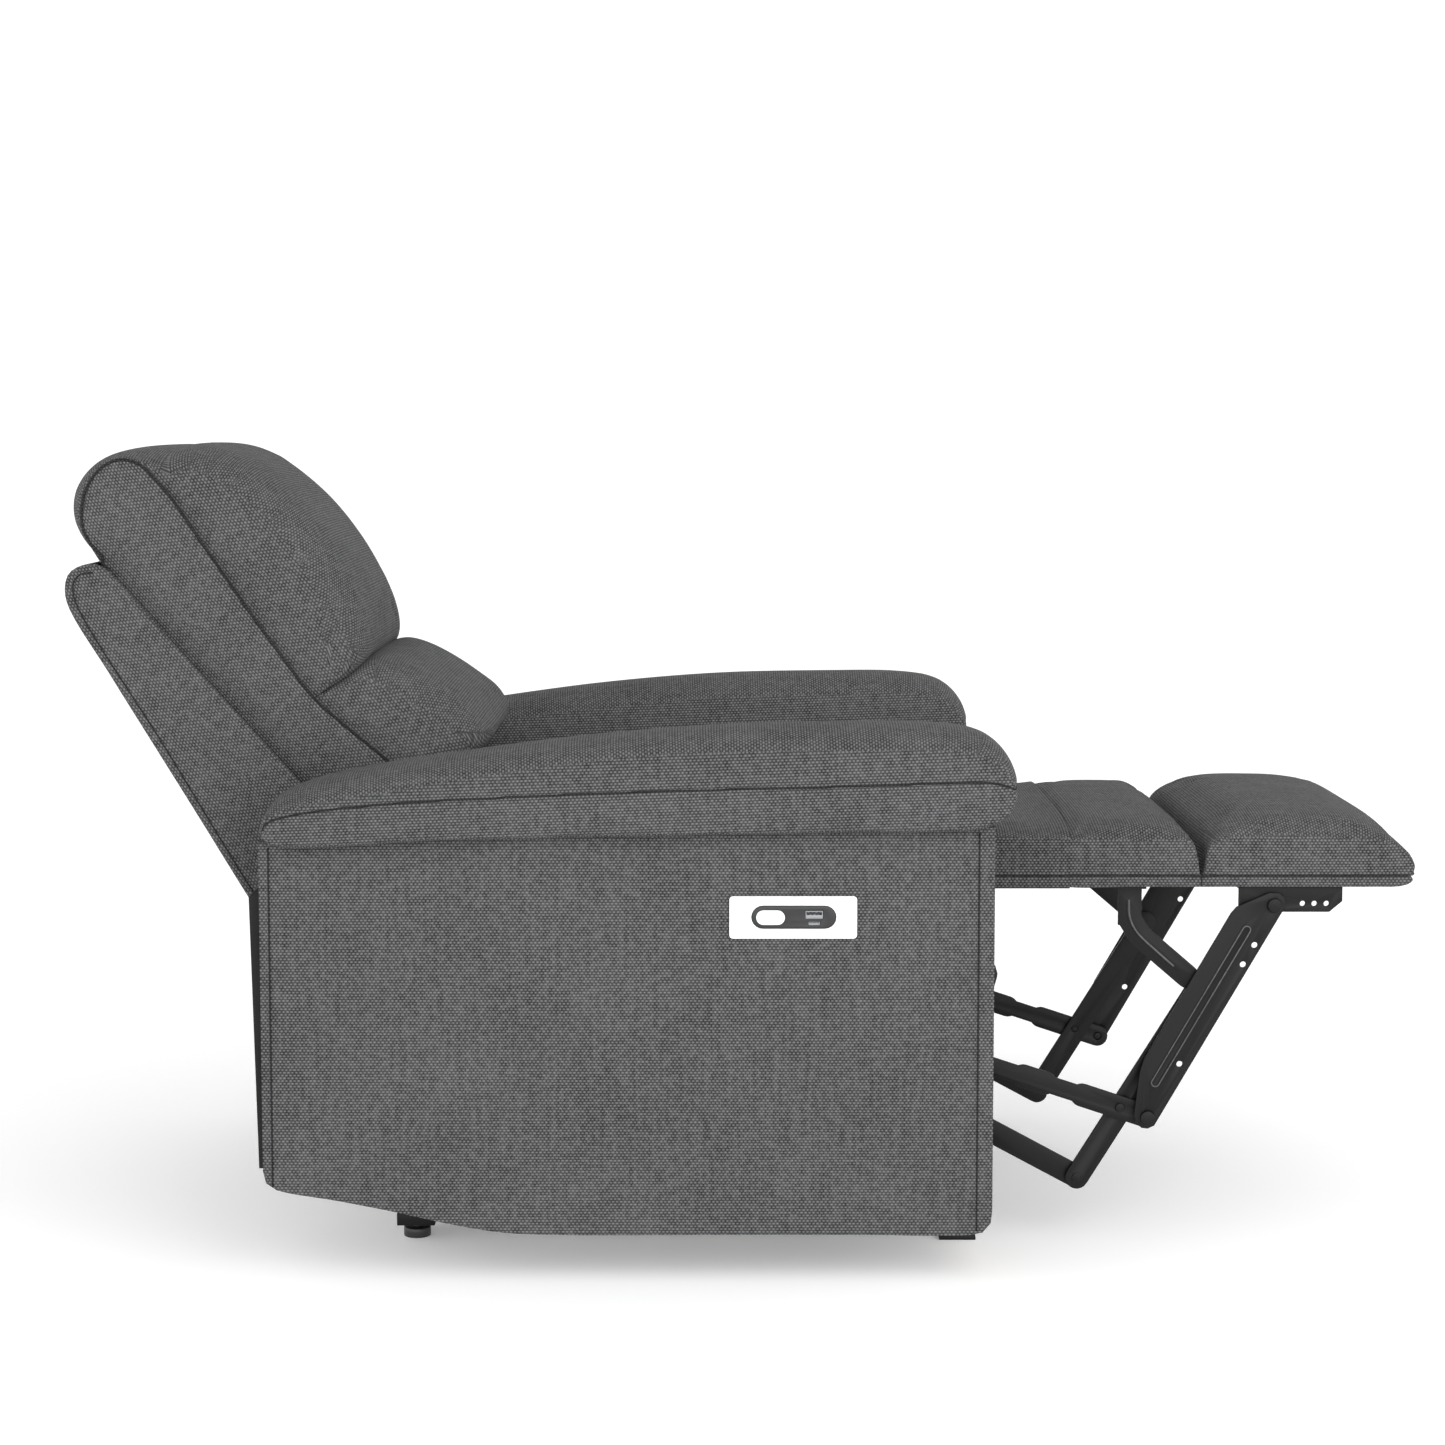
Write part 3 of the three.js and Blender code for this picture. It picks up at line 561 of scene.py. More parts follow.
# %% Distance to a line
def to_line(co, line):
    """How far each point is from a line of points, and how far along the line its nearest point is."""
    line = np.asarray(line, float)
    a, b = line[:-1], line[1:]
    step = b - a
    size = np.linalg.norm(step, axis=1)
    start = np.concatenate([[0], np.cumsum(size)[:-1]])
    best, where = np.full(len(co), 1e9), np.zeros(len(co))
    for p, d, length, before in zip(a, step, size, start):
        t = np.clip((co - p) @ d / max(length * length, 1e-12), 0, 1)
        away = np.linalg.norm(co - p - t[:, None] * d, axis=1)
        closer = away < best
        best = np.where(closer, away, best)
        where = np.where(closer, before + t * length, where)
    return best, where


def side_view(points):
    """Drawn points as x and z of the frame."""
    return [[p.x, p.z] for p in (spot(x, 0, z) for x, z in points)]


# %% The cloth map
END_SHARE = 0.72  # a face turned this much to the side is a pad's end


def lay_cloth(piece, guide=None, turn=0.0):
    """Writes the UV map cloth. guide is a closed outline of drawing points; without it the map is boxed."""
    mesh = piece.data
    co = coordinates(piece)
    count = len(mesh.polygons)
    normal = np.zeros(count * 3)
    mesh.polygons.foreach_get("normal", normal)
    total = np.zeros(count, int)
    mesh.polygons.foreach_get("loop_total", total)
    corner = np.zeros(len(mesh.loops), int)
    mesh.loops.foreach_get("vertex_index", corner)
    face = np.repeat(np.arange(count), total)
    p = co[corner]
    facing = np.abs(normal.reshape(-1, 3)[face])
    c, s = math.cos(turn), math.sin(turn)
    on_end = np.stack([p[:, 0] * c + p[:, 2] * s, p[:, 2] * c - p[:, 0] * s], axis=1)
    if guide is None:
        on_front = np.stack([p[:, 1], p[:, 2]], axis=1)
        on_top = np.stack([p[:, 1], p[:, 0]], axis=1)
        sideways = np.where((facing[:, 0] > facing[:, 2])[:, None], on_front, on_top)
        is_end = (facing[:, 1] >= facing[:, 0]) & (facing[:, 1] >= facing[:, 2])
    else:
        loop = np.array(side_view([*guide, guide[0]]))
        where = to_line(co[:, [0, 2]], loop)[1]
        whole = np.linalg.norm(np.diff(loop, axis=0), axis=1).sum()
        first = where[corner[np.concatenate([[0], np.cumsum(total)[:-1]])]][face]
        reach = where[corner]
        reach = reach - whole * np.round((reach - first) / whole)
        sideways = np.stack([p[:, 1], reach], axis=1)
        is_end = facing[:, 1] > END_SHARE
    uv = np.where(is_end[:, None], on_end, sideways)
    layer = mesh.uv_layers.get("cloth") or mesh.uv_layers.new(name="cloth")
    layer.data.foreach_set("uv", uv.astype(np.float32).ravel())


# %% [markdown]
# ## Sewing
# A seam on upholstery is a line where the cloth dips, with a thin cord of the same cloth in the dip.
# The cord is drawn in a darker grey than the pad, as painted shade in the dip.
# The line is drawn near the pad, dropped onto its skin, the skin is pressed in along it, and the cord
# is a curve with a round section, turned into a mesh. It is sewn after the filling, as remeshing
# would wipe it out.


# %% Dropping a line on the skin, and pressing it in
def on_skin(piece, route):
    """The route dropped onto the nearest points of the piece."""
    return [piece.closest_point_on_mesh(Vector(p))[1] for p in route]


def press(piece, line, width, depth):
    """Pushes the skin in along a line, softly, by depth in the middle of it."""
    co = coordinates(piece)
    line = np.array([list(p) for p in line])
    low, high = line.min(0) - 4 * width, line.max(0) + 4 * width
    near = np.flatnonzero(((co > low) & (co < high)).all(axis=1))
    away, _ = to_line(co[near], line)
    co[near] -= normals(piece)[near] * (depth * np.exp(-((away / width) ** 2)))[:, None]
    move_to(piece, co)


# %% Cords and seams
def tube(name, route, radius, closed=False):
    """A round cord along a route of points, as a mesh with the cloth map along it."""
    bpy.ops.object.select_all(action="DESELECT")
    bpy.ops.curve.primitive_bezier_curve_add(location=(0, 0, 0))
    piece = bpy.context.object
    piece.name = name
    curve = piece.data
    curve.splines.clear()
    spline = curve.splines.new("POLY")
    spline.points.add(len(route) - 1)
    for point, place in zip(spline.points, route):
        point.co = (*place, 1.0)
    spline.use_cyclic_u = closed
    curve.dimensions = "3D"
    curve.bevel_depth = radius * MM
    curve.bevel_resolution = 1
    curve.use_fill_caps = not closed
    bpy.ops.object.convert(target="MESH")
    piece = welded(bpy.context.object)
    bpy.ops.object.shade_smooth()
    lay_cloth(piece)
    return piece


def piping(name, route, radius, body):
    """A cord of the darker piping cloth, radius in millimetres, that rides on a body. Its darkness is
    painted shade of the seam.
    """
    cord = tube(name, route, radius)
    cord.data.materials.append(SEAM_SHADE_WEAVE)
    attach(cord, body)
    return cord


def sew(name, piece, route, body, radius, depth, width):
    """A seam along a drawn route on a piece: dip, cord, cloth and body. Sizes in millimetres."""
    line = on_skin(piece, smooth_line([list(p) for p in route], 90))
    press(piece, line, width * MM, depth * MM)
    piping(name, on_skin(piece, line), radius, body)


# %% Dressing a piece
def dress(piece, body, *nodes, finish=CLOTH, slot="upholstery_weave", fill=None):
    """Gives a finished piece its material and its body, and hides the nodes it stands for."""
    piece.data.materials.clear()
    piece.data.materials.append(finish)
    if nodes:
        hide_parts(*nodes)
    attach(piece, body)
    print(piece.name, "has", len(piece.data.polygons), "faces and rides on", body)


# %% [markdown]
# ## The arm pads
# Each arm has a pillow top with a welt round its outer edge, and a band of cloth below that turns
# under onto the side. The outline grows from the welt at the edge to the crown in the middle.

# %% Outlines of the arms
SIDE_TOP_REAR = 506
SIDE_TOP_RISE = 17  # from the rear of the panel to its front


def side_top(x):
    """The height of the side panel's sloping top at x."""
    return SIDE_TOP_REAR + (x - PANEL_REAR) * SIDE_TOP_RISE / (PANEL_FRONT - PANEL_REAR)


def arm_sole(clear):
    """The underside of an arm pad, clear of the panel's top."""
    return [(x, side_top(x) + clear) for x in (-517, -320, -115, 110, 303)]


ARM_EDGE = arm_sole(6) + [
    (322, 534), (333, 553), (333, 572), (318, 579), (290, 580), (240, 580), (150, 577), (0, 573),
    (-131, 568), (-250, 563), (-366, 557), (-470, 547), (-519, 537), (-527, 526),
]
ARM_MIDDLE = arm_sole(1) + [
    (322, 532), (338, 555), (338, 584), (325, 611), (297, 632), (247, 640), (150, 639), (-10, 635),
    (-160, 622), (-280, 606), (-382, 590), (-478, 571), (-522, 550), (-528, 528),
]
ARM_SEAM = [
    (-528, 526), (-521, 533), (-505, 540), (-470, 547), (-366, 558), (-250, 564), (-131, 569), (0, 573),
    (150, 577), (240, 580), (300, 581), (330, 574),
]
print("side tops slope from", SIDE_TOP_REAR, "to", SIDE_TOP_REAR + SIDE_TOP_RISE, "mm")


# %% Arm pads
def arm_pad(word, side):
    outer, inner = side * (ARM_OUTER - 2), side * (SIDE_INNER + 1)
    low, high = min(outer, inner), max(outer, inner)
    piece = rolled("arm_cushion_" + word, pad_rings(ARM_EDGE, ARM_MIDDLE, low, high, 16, 2.6))
    seam = ring_at(ARM_SEAM, outer)

    def held(co):
        top = (side_top((co[:, 0] - SHIFT) / MM) + 7) * MM
        return (co[:, 2] < top) | (to_line(co, np.array([list(p) for p in seam]))[0] < 6 * MM)

    plump(piece, 6 * MM, 6 * MM, held)
    nose = [spot(336, side * y, 573) for y in (425, 380, 330, 290)]
    sew("arm_welt_" + word, piece, seam + nose, "base", radius=1.4, depth=2.5, width=4.5)
    lay_cloth(piece, ARM_MIDDLE, turn=math.radians(2))
    dress(piece, "base", "arm_pad_" + word, fill=0.7)


for word, side in SIDES:
    arm_pad(word, side)

# %% [markdown]
# ## The side covers
# A side is a board box with cloth pulled over a thin sheet of foam. It is rolled from its outline,
# its top and bottom are opened, and Solidify gives it a wall. The outer face has a seam near each end.

# %% Side covers
SIDE_OUTLINE = [
    (PANEL_REAR, 130), (-524, 117), (-513, 108.5), (-440, 95), (-370, 81), (-310, 67.5), (-255, 58.5),
    (-190, 55.5), (0, 55.5), (150, 55.5), (285, 55.5), (299, 58.5), (307, 67), (PANEL_FRONT, 84),
]
SIDE_WALL = 11


def side_cover(word, side):
    lower = smooth_line(SIDE_OUTLINE, 60)
    top = [(x, side_top(x) + 4) for x in np.linspace(PANEL_FRONT, PANEL_REAR, 40)]
    front = [(PANEL_FRONT, z) for z in np.linspace(100, 510, 24)]
    rear = [(PANEL_REAR, z) for z in np.linspace(495, 145, 20)]
    outline = np.array([*map(tuple, lower), *front, *top, *rear])
    depths = np.linspace(side * SIDE_OUTER, side * SIDE_INNER, 12)
    piece = rolled("side_upholstery_" + word, [ring_at(outline, y) for y in depths])
    open_face(piece, lambda n: abs(n.z) > 0.6)
    applied(piece, "SOLIDIFY", thickness=SIDE_WALL * MM, offset=-1, use_even_offset=True)
    softened(piece, 9)
    lay_cloth(piece)
    dress(piece, "base", "side_cover_" + word)


for word, side in SIDES:
    side_cover(word, side)

# %% [markdown]
# ## Seams and dust covers of the sides
# The outer face meets the narrow front and rear facings at two upright seams. Underneath, a sheet of
# black lining is stapled across each side, a little way up, so the timber doesn't show.

# %% Side seams and dust covers
SIDE_SEAMS = (("front", 291.5, 60, 521), ("rear", -515.5, 112, 504))  # x, lowest and highest
STAPLED = 11.5  # how far the lining's edges lie inside the panel's faces
LINING_UP = 5
LINING_THICK = 0.6


def side_seams(word, side):
    for end, x, low, high in SIDE_SEAMS:
        line = [spot(x, side * SIDE_OUTER, z) for z in np.linspace(low, high, 40)]
        piping(f"side_seam_{end}_{word}", line, 1.1, "base")


def dust_cover(word, side):
    line = [(x, z + LINING_UP) for x, z in smooth_line(SIDE_OUTLINE, 60) if -514 < x < 297]
    near, far = side * (SIDE_INNER + STAPLED), side * (SIDE_OUTER - STAPLED)
    rows = [[spot(x, y, z) for y in np.linspace(near, far, 9)] for x, z in line]
    piece = welded(laid_out("dust_cover_" + word, rows))
    applied(piece, "SOLIDIFY", thickness=LINING_THICK * MM, offset=0)
    bpy.ops.object.shade_smooth()
    dress(piece, "base", finish=LINING, slot="black_lining")


for word, side in SIDES:
    side_seams(word, side)
    dust_cover(word, side)

# %% [markdown]
# ## The back shell
# The outer back is a board tray under cloth: two sides, a rear and a rounded top, open to the front
# where the cushions sit in it. It is rolled, its front and bottom are deleted, and it gets a wall.

# %% Back shell
SHELL_OUTLINE = [
    (-528, 362), (-497, 362), (-470, 363), (-446, 402), (-424, 440), (-424, 458), (-429, 476),
    (-462, 514), (-501, 558), (-580, 646), (-655, 730), (-721, 805), (-731, 814), (-743, 818),
    (-759, 815), (-771, 807), (-776, 794), (-774, 771), (-723, 683), (-670, 595), (-617, 507), (-565, 420),
]
SHELL_SEAM = [
    (-521, 370), (-557, 424), (-660, 599), (-763, 772), (-766, 792), (-762, 802), (-753, 807), (-742, 808),
]
SHELL_WALL = 12
BACK_LEAN = math.radians(-48)  # turns the threads to lie along the reclined back


def in_front_or_under(n):
    """Whether a face looks out of the tray's open front, or down."""
    return abs(n.y) < 0.5 and (n.x * 0.745 + n.z * 0.667 > 0.6 or n.z < -0.8)


def shell():
    outline = smooth_line(SHELL_OUTLINE, 150, closed=True)
    depths = np.linspace(-SHELL_HALF, SHELL_HALF, 20)
    piece = rolled("back_shell_upholstery", [ring_at(outline, y) for y in depths])
    open_face(piece, in_front_or_under)
    applied(piece, "SOLIDIFY", thickness=SHELL_WALL * MM, offset=-1, use_even_offset=True)
    softened(piece, 5)
    lay_cloth(piece, SHELL_OUTLINE, turn=BACK_LEAN)
    dress(piece, "back", "back_shell")
    for word, side in SIDES:
        piping("shell_seam_" + word, ring_at(smooth_line(SHELL_SEAM, 70), side * SHELL_HALF), 1.0, "back")


shell()

# %% [markdown]
# ## The back cushions
# A pillow for the head rests on a smaller one for the small of the back. The side of both is one
# boxing panel, and a welt runs round where it meets the pillows. The boxing dips where it tucks
# behind the shell, so it is remeshed and pressed in by its distance from that edge.

# %% Outlines of the back cushions
WELT = [
    (-728, 806), (-737, 820), (-755, 858), (-755, 889), (-746, 915), (-729, 934), (-708, 942), (-685, 936),
    (-663, 915), (-642, 888), (-608, 837), (-565, 773), (-524, 715), (-483, 660), (-450, 630), (-392, 581),
]
TUCK = [(-734, 812), (-619, 683), (-506, 557), (-467, 512)]
BOXING = WELT + [
    (-390, 566), (-415, 549), (-445, 534), (-470, 516), (-509, 555), (-566, 617), (-623, 681), (-680, 744),
    (-728, 798),
]
HEAD_EDGE = [
    (-718, 820), (-650, 742), (-592, 678), (-560, 652), (-525, 645), (-495, 648), (-485, 657), (-490, 669),
    (-524, 715), (-565, 773), (-608, 837), (-642, 888), (-663, 915), (-685, 936), (-708, 942),
    (-729, 934), (-747, 914), (-756, 888), (-755, 856), (-736, 826),
]
HEAD_MIDDLE = [
    (-716, 824), (-645, 752), (-585, 690), (-530, 665), (-470, 670), (-434, 684), (-420, 700), (-416, 716),
    (-420, 736), (-441, 782), (-473, 838), (-514, 891), (-566, 935), (-602, 955), (-634, 959), (-662, 951),
    (-690, 954), (-716, 953), (-746, 942), (-772, 917), (-782, 889), (-776, 858), (-740, 820),
]
LUMBAR_EDGE = [
    (-545, 632), (-520, 608), (-474, 556), (-455, 545), (-420, 545), (-396, 552), (-388, 566), (-392, 580),
    (-420, 602), (-450, 628), (-480, 654), (-490, 656), (-510, 650),
]
LUMBAR_MIDDLE = [
    (-545, 636), (-510, 608), (-462, 565), (-430, 556), (-350, 566), (-300, 584), (-272, 600), (-270, 616),
    (-284, 631), (-308, 648), (-350, 677), (-389, 698), (-418, 705), (-440, 694), (-480, 670),
]
print("the head pillow stands", max(z for _, z in HEAD_MIDDLE), "mm above the floor")

# %% Head pillow and lumbar pillow
BOXING_IN = SIDE_INNER - 18.5
BOXING_OUT = SHELL_HALF
PILLOW_HALF = BOXING_IN + 2


def pillow(name, edge, middle, node):
    piece = rolled(name, pad_rings(edge, middle, -PILLOW_HALF, PILLOW_HALF, 24, 6.0))
    plump(piece, 6 * MM, 7 * MM, lambda co: np.abs(co[:, 1]) > (PILLOW_HALF - 6) * MM)
    lay_cloth(piece, middle, turn=BACK_LEAN)
    dress(piece, "back", node, fill=0.75)


pillow("head_pillow", HEAD_EDGE, HEAD_MIDDLE, "head_cushion")
pillow("lumbar_pillow", LUMBAR_EDGE, LUMBAR_MIDDLE, "lumbar_cushion")

# %% Boxing panels and their welts
TUCK_SINK, TUCK_REACH = 14.5, 28  # how deep the panel dips behind the shell's edge, and how far from it
RIM_SINK, RIM_REACH = 3, 7  # the same beside the welt
CELL = 3.5


def dip(flat, line, sink, reach):
    """How far each point of the flat panel is pulled in by a line."""
    away, _ = to_line(flat, side_view(line))
    return sink * np.exp(-((away / (reach * MM)) ** 2))


def boxing(word, side):
    outline = smooth_line(BOXING, 140, closed=True)
    ys = sorted((side * BOXING_IN, side * BOXING_OUT))
    piece = rolled("back_boxing_" + word, [ring_at(outline, y) for y in ys])
    applied(piece, "REMESH", mode="VOXEL", voxel_size=CELL * MM)
    applied(piece, "SMOOTH", factor=0.5, iterations=5)
    co = coordinates(piece)
    flat = co[:, [0, 2]]
    outer = np.clip((side * co[:, 1] / MM - BOXING_IN) / (BOXING_OUT - BOXING_IN), 0, 1)
    sink = dip(flat, TUCK, TUCK_SINK, TUCK_REACH) + dip(flat, WELT, RIM_SINK, RIM_REACH)
    co[:, 1] -= side * outer * sink * MM
    move_to(piece, co)
    only(piece)
    bpy.ops.object.shade_smooth()
    lay_cloth(piece, turn=BACK_LEAN)
    dress(piece, "back", fill=0.5)
    route = on_skin(piece, ring_at(smooth_line(WELT, 160), side * (BOXING_OUT - 2)))
    piping("back_welt_" + word, route, 2.2, "back")


for word, side in SIDES:
    boxing(word, side)

# %% [markdown]
# ## The seat
# One deep pad with a rounded nose. A seam runs across under the nose, where the top panel meets the
# front panel, and the sides are tucked down between the arms.

# %% Seat cushion
SEAT_EDGE = [
    (-340, 432), (-170, 432), (0, 432), (165, 432), (328, 432), (346, 441), (363, 460), (371, 478),
    (366, 486), (340, 490), (200, 497), (-100, 498), (-290, 496), (-342, 482), (-345, 450),
]
SEAT_MIDDLE = [
    (-340, 432), (-170, 432), (0, 432), (165, 432), (328, 432), (346, 441), (363, 460), (373, 482),
    (367, 496), (340, 508), (200, 520), (-100, 518), (-290, 512), (-344, 496), (-345, 450),
]
SEAT_HELD_BELOW = 440  # the underside stays flat on the springs


def seat():
    piece = rolled("seat_pad", pad_rings(SEAT_EDGE, SEAT_MIDDLE, -SEAT_HALF, SEAT_HALF, 20, 4.0))
    low, wide = SEAT_HELD_BELOW * MM, (SEAT_HALF - 3) * MM
    plump(piece, 6.5 * MM, 6 * MM, lambda co: (co[:, 2] < low) | (np.abs(co[:, 1]) > wide))
    nose = [spot(380, y, 462) for y in np.linspace(-250, 250, 9)]
    sew("seat_front_seam", piece, nose, "base", radius=1.2, depth=3.0, width=4.0)
    lay_cloth(piece, SEAT_MIDDLE)
    dress(piece, "base", "seat_cushion", fill=0.8)


seat()

# %% [markdown]
# ## The leg rest
# Two pads lie on a padded board, with a band of cloth round the board and a welt above the band. A
# seam parts the pads. The pads are blown up like the cushions, and the band is shaped directly,
# because it is only a thin layer of foam over the board.

# %% Leg rest pads
REAR_EDGE = [
    (400, 438), (440, 438), (480, 438), (530, 438), (566, 438), (570.5, 441), (570.5, 468), (567, 480),
    (551, 487), (500, 489), (430, 489), (397, 483), (385, 469), (388, 446),
]
REAR_MIDDLE = [
    (400, 438), (440, 438), (480, 438), (530, 438), (566, 438), (570.5, 441), (570.5, 480), (567, 498),
    (548, 506), (500, 507), (430, 506), (400, 500), (386, 478), (388, 446),
]
FRONT_EDGE = [
    (576, 438), (630, 438), (680, 438), (740, 438), (790, 438), (811, 439), (826, 445), (830, 456),
    (820, 471), (790, 485), (740, 490), (690, 492), (637, 492), (594, 488), (575, 477), (571.5, 458),
    (571.5, 441),
]
FRONT_MIDDLE = [
    (576, 438), (630, 438), (680, 438), (740, 438), (790, 438), (811, 439), (827, 445), (832, 458),
    (823, 483), (793, 504), (742, 515), (690, 517), (637, 516), (597, 509), (577, 497), (571.5, 464),
    (571.5, 441),
]
PAD_HELD_BELOW = 448


def leg_pad(name, edge, middle, node, free_from):
    """A pad that may swell only in front of free_from, clear of the apron over its rear end."""
    piece = rolled(name, pad_rings(edge, middle, -SEAT_HALF, SEAT_HALF, 20, 4.0))
    low, hold = PAD_HELD_BELOW * MM, free_from * MM + SHIFT
    plump(piece, 5.5 * MM, 6 * MM, lambda co: (co[:, 2] < low) | (co[:, 0] < hold))
    lay_cloth(piece, middle)
    dress(piece, "leg_rest", node, fill=0.75)


leg_pad("leg_pad_near_seat", REAR_EDGE, REAR_MIDDLE, "leg_pad_rear", 418)
leg_pad("leg_pad_far", FRONT_EDGE, FRONT_MIDDLE, "leg_pad_front", 0)

# %% Leg rest band and its piping
BAND = [
    (404, 434), (500, 432.5), (650, 432.5), (780, 432.5), (808, 433), (821, 437), (826, 442), (822, 446),
    (780, 446.3), (650, 446.3), (500, 446.3), (404, 446.3), (399, 440),
]
BAND_HALF = SEAT_HALF - 1
BAND_TOP = 446.6


def welt_route():
    """Round the top of the band: out along one side, across the end and back, as x and y."""
    half = SEAT_HALF + 0.2
    out = [(404, -half), (600, -half), (800, -half), (818, -half + 3), (826, -half + 14), (827, -150)]
    return out + [(827, 0)] + [(x, -y) for x, y in reversed(out)]


def band():
    outline = smooth_line(BAND, 90, closed=True)
    depths = np.linspace(-BAND_HALF, BAND_HALF, 16)
    piece = rolled("leg_rest_band", [ring_at(outline, y) for y in depths])
    softened(piece, 4, segments=3)
    lay_cloth(piece)
    dress(piece, "leg_rest", "leg_board", fill=0.3)
    line = [spot(x, y, BAND_TOP) for x, y in smooth_line(welt_route(), 200)]
    piping("leg_rest_welt", line, 1.2, "leg_rest")
    for word, side in SIDES:
        upright = [spot(571, side * BAND_HALF, z) for z in np.linspace(434, 446, 6)]
        piping("leg_rest_seam_" + word, upright, 0.8, "leg_rest")


band()

# %% [markdown]
# ## The apron
# A sleeve of the same cloth closes the step between the seat and the leg rest, so with the rest out
# the two look like one long pad. It is open at both ends and one layer thick. When the rest folds,
# real cloth bunches up under the nose of the seat.

# %% The apron's section
APRON_STOPS = [  # x, the height of its edge and the height of its crown
    (316, 492, 509), (345, 490.5, 507.5), (372, 489, 505.5), (395, 488.5, 505.5), (414, 489, 508.5),
]
APRON_HALF = SEAT_HALF + 1.2
APRON_LOW = 430.6
APRON_THICK = 1.6
print("the apron bridges", APRON_STOPS[-1][0] - APRON_STOPS[0][0], "mm")


def apron_ring(x, edge, crown):
    """Once round the sleeve at x: along the bottom, up one side, over the top and down."""
    ys = APRON_HALF * np.sin(np.linspace(-math.pi / 2, math.pi / 2, 60))
    rise = np.sqrt(np.clip(1 - np.abs(ys / APRON_HALF) ** 4, 0, 1))
    over = [(y, edge + (crown - edge) * k) for y, k in zip(ys[::-1], rise[::-1])]
    under = [(y, APRON_LOW) for y in np.linspace(-APRON_HALF + 5, APRON_HALF - 5, 16)]
    up = [(APRON_HALF, z) for z in np.linspace(APRON_LOW + 5, edge - 4, 8)]
    down = [(-APRON_HALF, z) for z in np.linspace(edge - 4, APRON_LOW + 5, 8)]
    return [spot(x, y, z) for y, z in [*under, *up, *over, *down]]


# %% Apron
def apron():
    stops = smooth_line(APRON_STOPS, 14)
    rings = [apron_ring(*stop) for stop in stops]
    piece = welded(laid_out("seat_apron", [[*ring, ring[0]] for ring in rings]))
    applied(piece, "SOLIDIFY", thickness=APRON_THICK * MM, offset=-1)
    only(piece)
    bpy.ops.object.shade_smooth_by_angle(angle=SHARP)
    lay_cloth(piece)
    dress(piece, "base")
    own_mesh(piece)
    for word, side in SIDES:
        line = [spot(x, side * APRON_HALF, BAND_TOP) for x in np.linspace(316, 414, 12)]
        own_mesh(piping("apron_welt_" + word, line, 1.2, "base"))


apron()

# %% [markdown]
# ## The steel, the panel and the frame
# A pressed steel part has soft arrises that catch the light. The CAD nodes stay as they are, so a
# part that shows gets a welded copy with a fine bevel, and the copy stands for the node. The two
# timber frames that can be glimpsed past the cushions are wrapped in black lining.

# %% What each hard node is made of
NODES = frame["nodes"]
RECORD = frame["record"]
BODY_OF = {n: body for body, names in RECORD["behaviour"]["bodies"].items() for n in names}
SLOT_OF = {row["node"]: row["material_slot"] for row in RECORD["subparts"]}
SLOT_FINISH = {
    "black_lining": LINING, "timber_frame": PLY, "black_steel": STEEL, "zinc_steel": ZINC,
    "white_panel": WHITE, "black_plastic": BLACK,
}
print(sum(SLOT_OF[n] in SLOT_FINISH for n in NODES), "hard nodes of", len(NODES))


# %% Bevelled copies of the hard parts
def eased(node, width, slot):
    """A welded copy of a node with its arrises bevelled by width millimetres, in its place."""
    bpy.ops.object.select_all(action="DESELECT")
    piece = NODES[node].copy()
    piece.data = NODES[node].data.copy()
    scene.collection.objects.link(piece)
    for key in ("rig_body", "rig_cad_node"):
        del piece[key]
    piece.parent = None
    piece.name = node + "_eased"
    only(piece)
    bpy.ops.object.mode_set(mode="EDIT")
    bpy.ops.mesh.select_all(action="SELECT")
    bpy.ops.mesh.remove_doubles(threshold=1e-5)
    bpy.ops.mesh.dissolve_limited(angle_limit=math.radians(3))
    bpy.ops.object.mode_set(mode="OBJECT")
    softened(piece, width, segments=2, limit=math.radians(40), smooth=math.radians(35))
    piece.data.materials.clear()
    piece.data.materials.append(SLOT_FINISH[slot])
    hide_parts(node)
    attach(piece, BODY_OF[node])


# %% The bevel of each part
PAIR_BEVELS = {
    "long_link": 0.6, "crank_link": 0.5, "cross_link": 0.5, "rear_link": 0.5, "front_bracket": 0.5,
    "rear_bracket": 0.6, "knee_rivet": 1.2, "leg_rivet": 1.2, "cross_rivet": 0.8, "seat_plate": 0.5,
    "back_bracket": 0.5, "base_rail": 1.5, "front_foot": 1.2, "rear_glide": 1.5,
}
BEVELS = {f"{stem}_{word}": width for stem, width in PAIR_BEVELS.items() for word, _ in SIDES}
BEVELS.update(control_plate=1.2, control_insert=0.8, rocker_button=1.0)
for node, width in BEVELS.items():
    eased(node, width, SLOT_OF[node])
for node in ("seat_frame", "back_frame"):
    eased(node, 1.0, "black_lining")
print(len(BEVELS), "hard parts bevelled, and 2 frames wrapped in lining")

# %% [markdown]
# ## Pressed ribs
# The links are stiffened by long ribs. A fine rounded rim lies round the groove of the long link, and
# one bead follows the bend of the rear bracket. Both stand a little proud, and their colour is a painted
# highlight, lighter than the steel round them. They could be cut into the sheet with a boolean, but a
# cord sunk into the face gives the same relief.

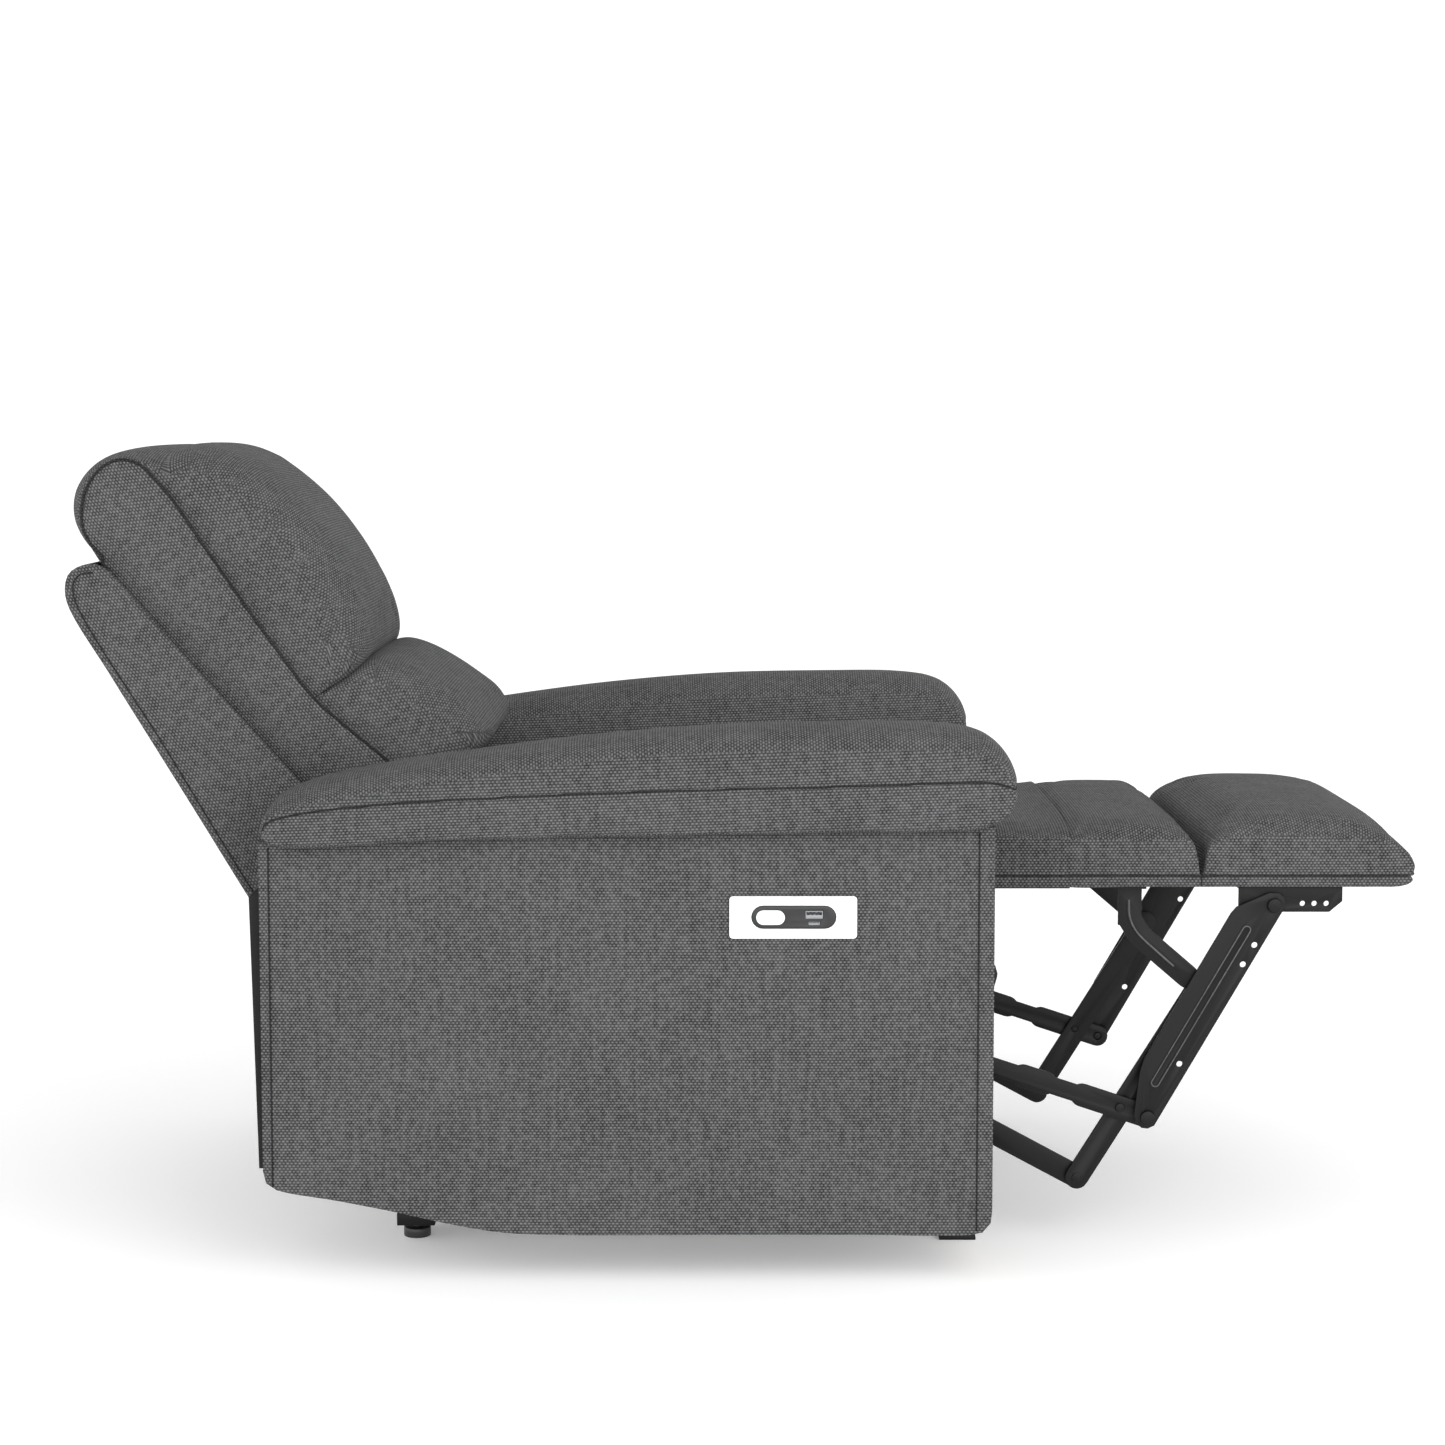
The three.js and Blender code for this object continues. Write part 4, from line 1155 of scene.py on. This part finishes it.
# %% Where the ribs run
LONG_Q, LONG_P = (511.1, 150.9), (659.7, 409.5)  # the long link's lower and upper pivots
LONG_SPAN = math.dist(LONG_Q, LONG_P)
RIM_OFF, RIM_RADIUS, RIM_END = 14, 4.6, 42
BRACKET_BEAD = [(486, 416), (486.5, 400), (488.5, 391), (493, 381), (501, 371), (520, 353.5), (541, 335)]


def along_link(s, n):
    """The drawn place s along the long link from its lower pivot, and n to the left of that line."""
    ux, uz = ((p - q) / LONG_SPAN for p, q in zip(LONG_P, LONG_Q))
    return LONG_Q[0] + s * ux - n * uz, LONG_Q[1] + s * uz + n * ux


def rim(middle, radius, low, high):
    """Round a slot along the link, as drawn places."""
    turn = [math.pi * k / 8 for k in range(9)]
    top = [(high + radius * math.sin(t), middle - radius * math.cos(t)) for t in turn]
    bottom = [(low - radius * math.sin(t), middle + radius * math.cos(t)) for t in turn]
    return [along_link(s, n) for s, n in top + bottom]


print("ribs on", round(LONG_SPAN, 1), "mm links and on the rear brackets")


# %% Ribs on the long links and rear brackets
def rib(stem, word, side, route, radius, sunk, closed):
    """A raised cord on the outer face of a link or bracket, sunk millimetres into it."""
    node = f"{stem}_{word}"
    low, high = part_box(node)
    face = (low.y if side < 0 else high.y) / MM - side * sunk
    cord = tube(f"{stem}_rib_{word}", ring_at(route, face), radius, closed)
    # The cord's lighter colour is a painted highlight.
    cord.data.materials.append(RIB_HIGHLIGHT_PAINT)
    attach(cord, BODY_OF[node])
    print(cord.name, "has", len(cord.data.polygons), "faces")


for word, side in SIDES:
    rib("long_link", word, side, rim(RIM_OFF, RIM_RADIUS, RIM_END, LONG_SPAN - RIM_END), 0.9, 0.1, True)
    rib("rear_bracket", word, side, smooth_line(BRACKET_BEAD, 40), 1.5, 0.7, False)

# %% Finishes of the nodes that show as they are
for node, piece in NODES.items():
    if SLOT_OF[node] in SLOT_FINISH:
        piece.data.materials.clear()
        piece.data.materials.append(SLOT_FINISH[SLOT_OF[node]])
print("shown CAD nodes:", sorted(n for n, o in NODES.items() if not o.hide_render))
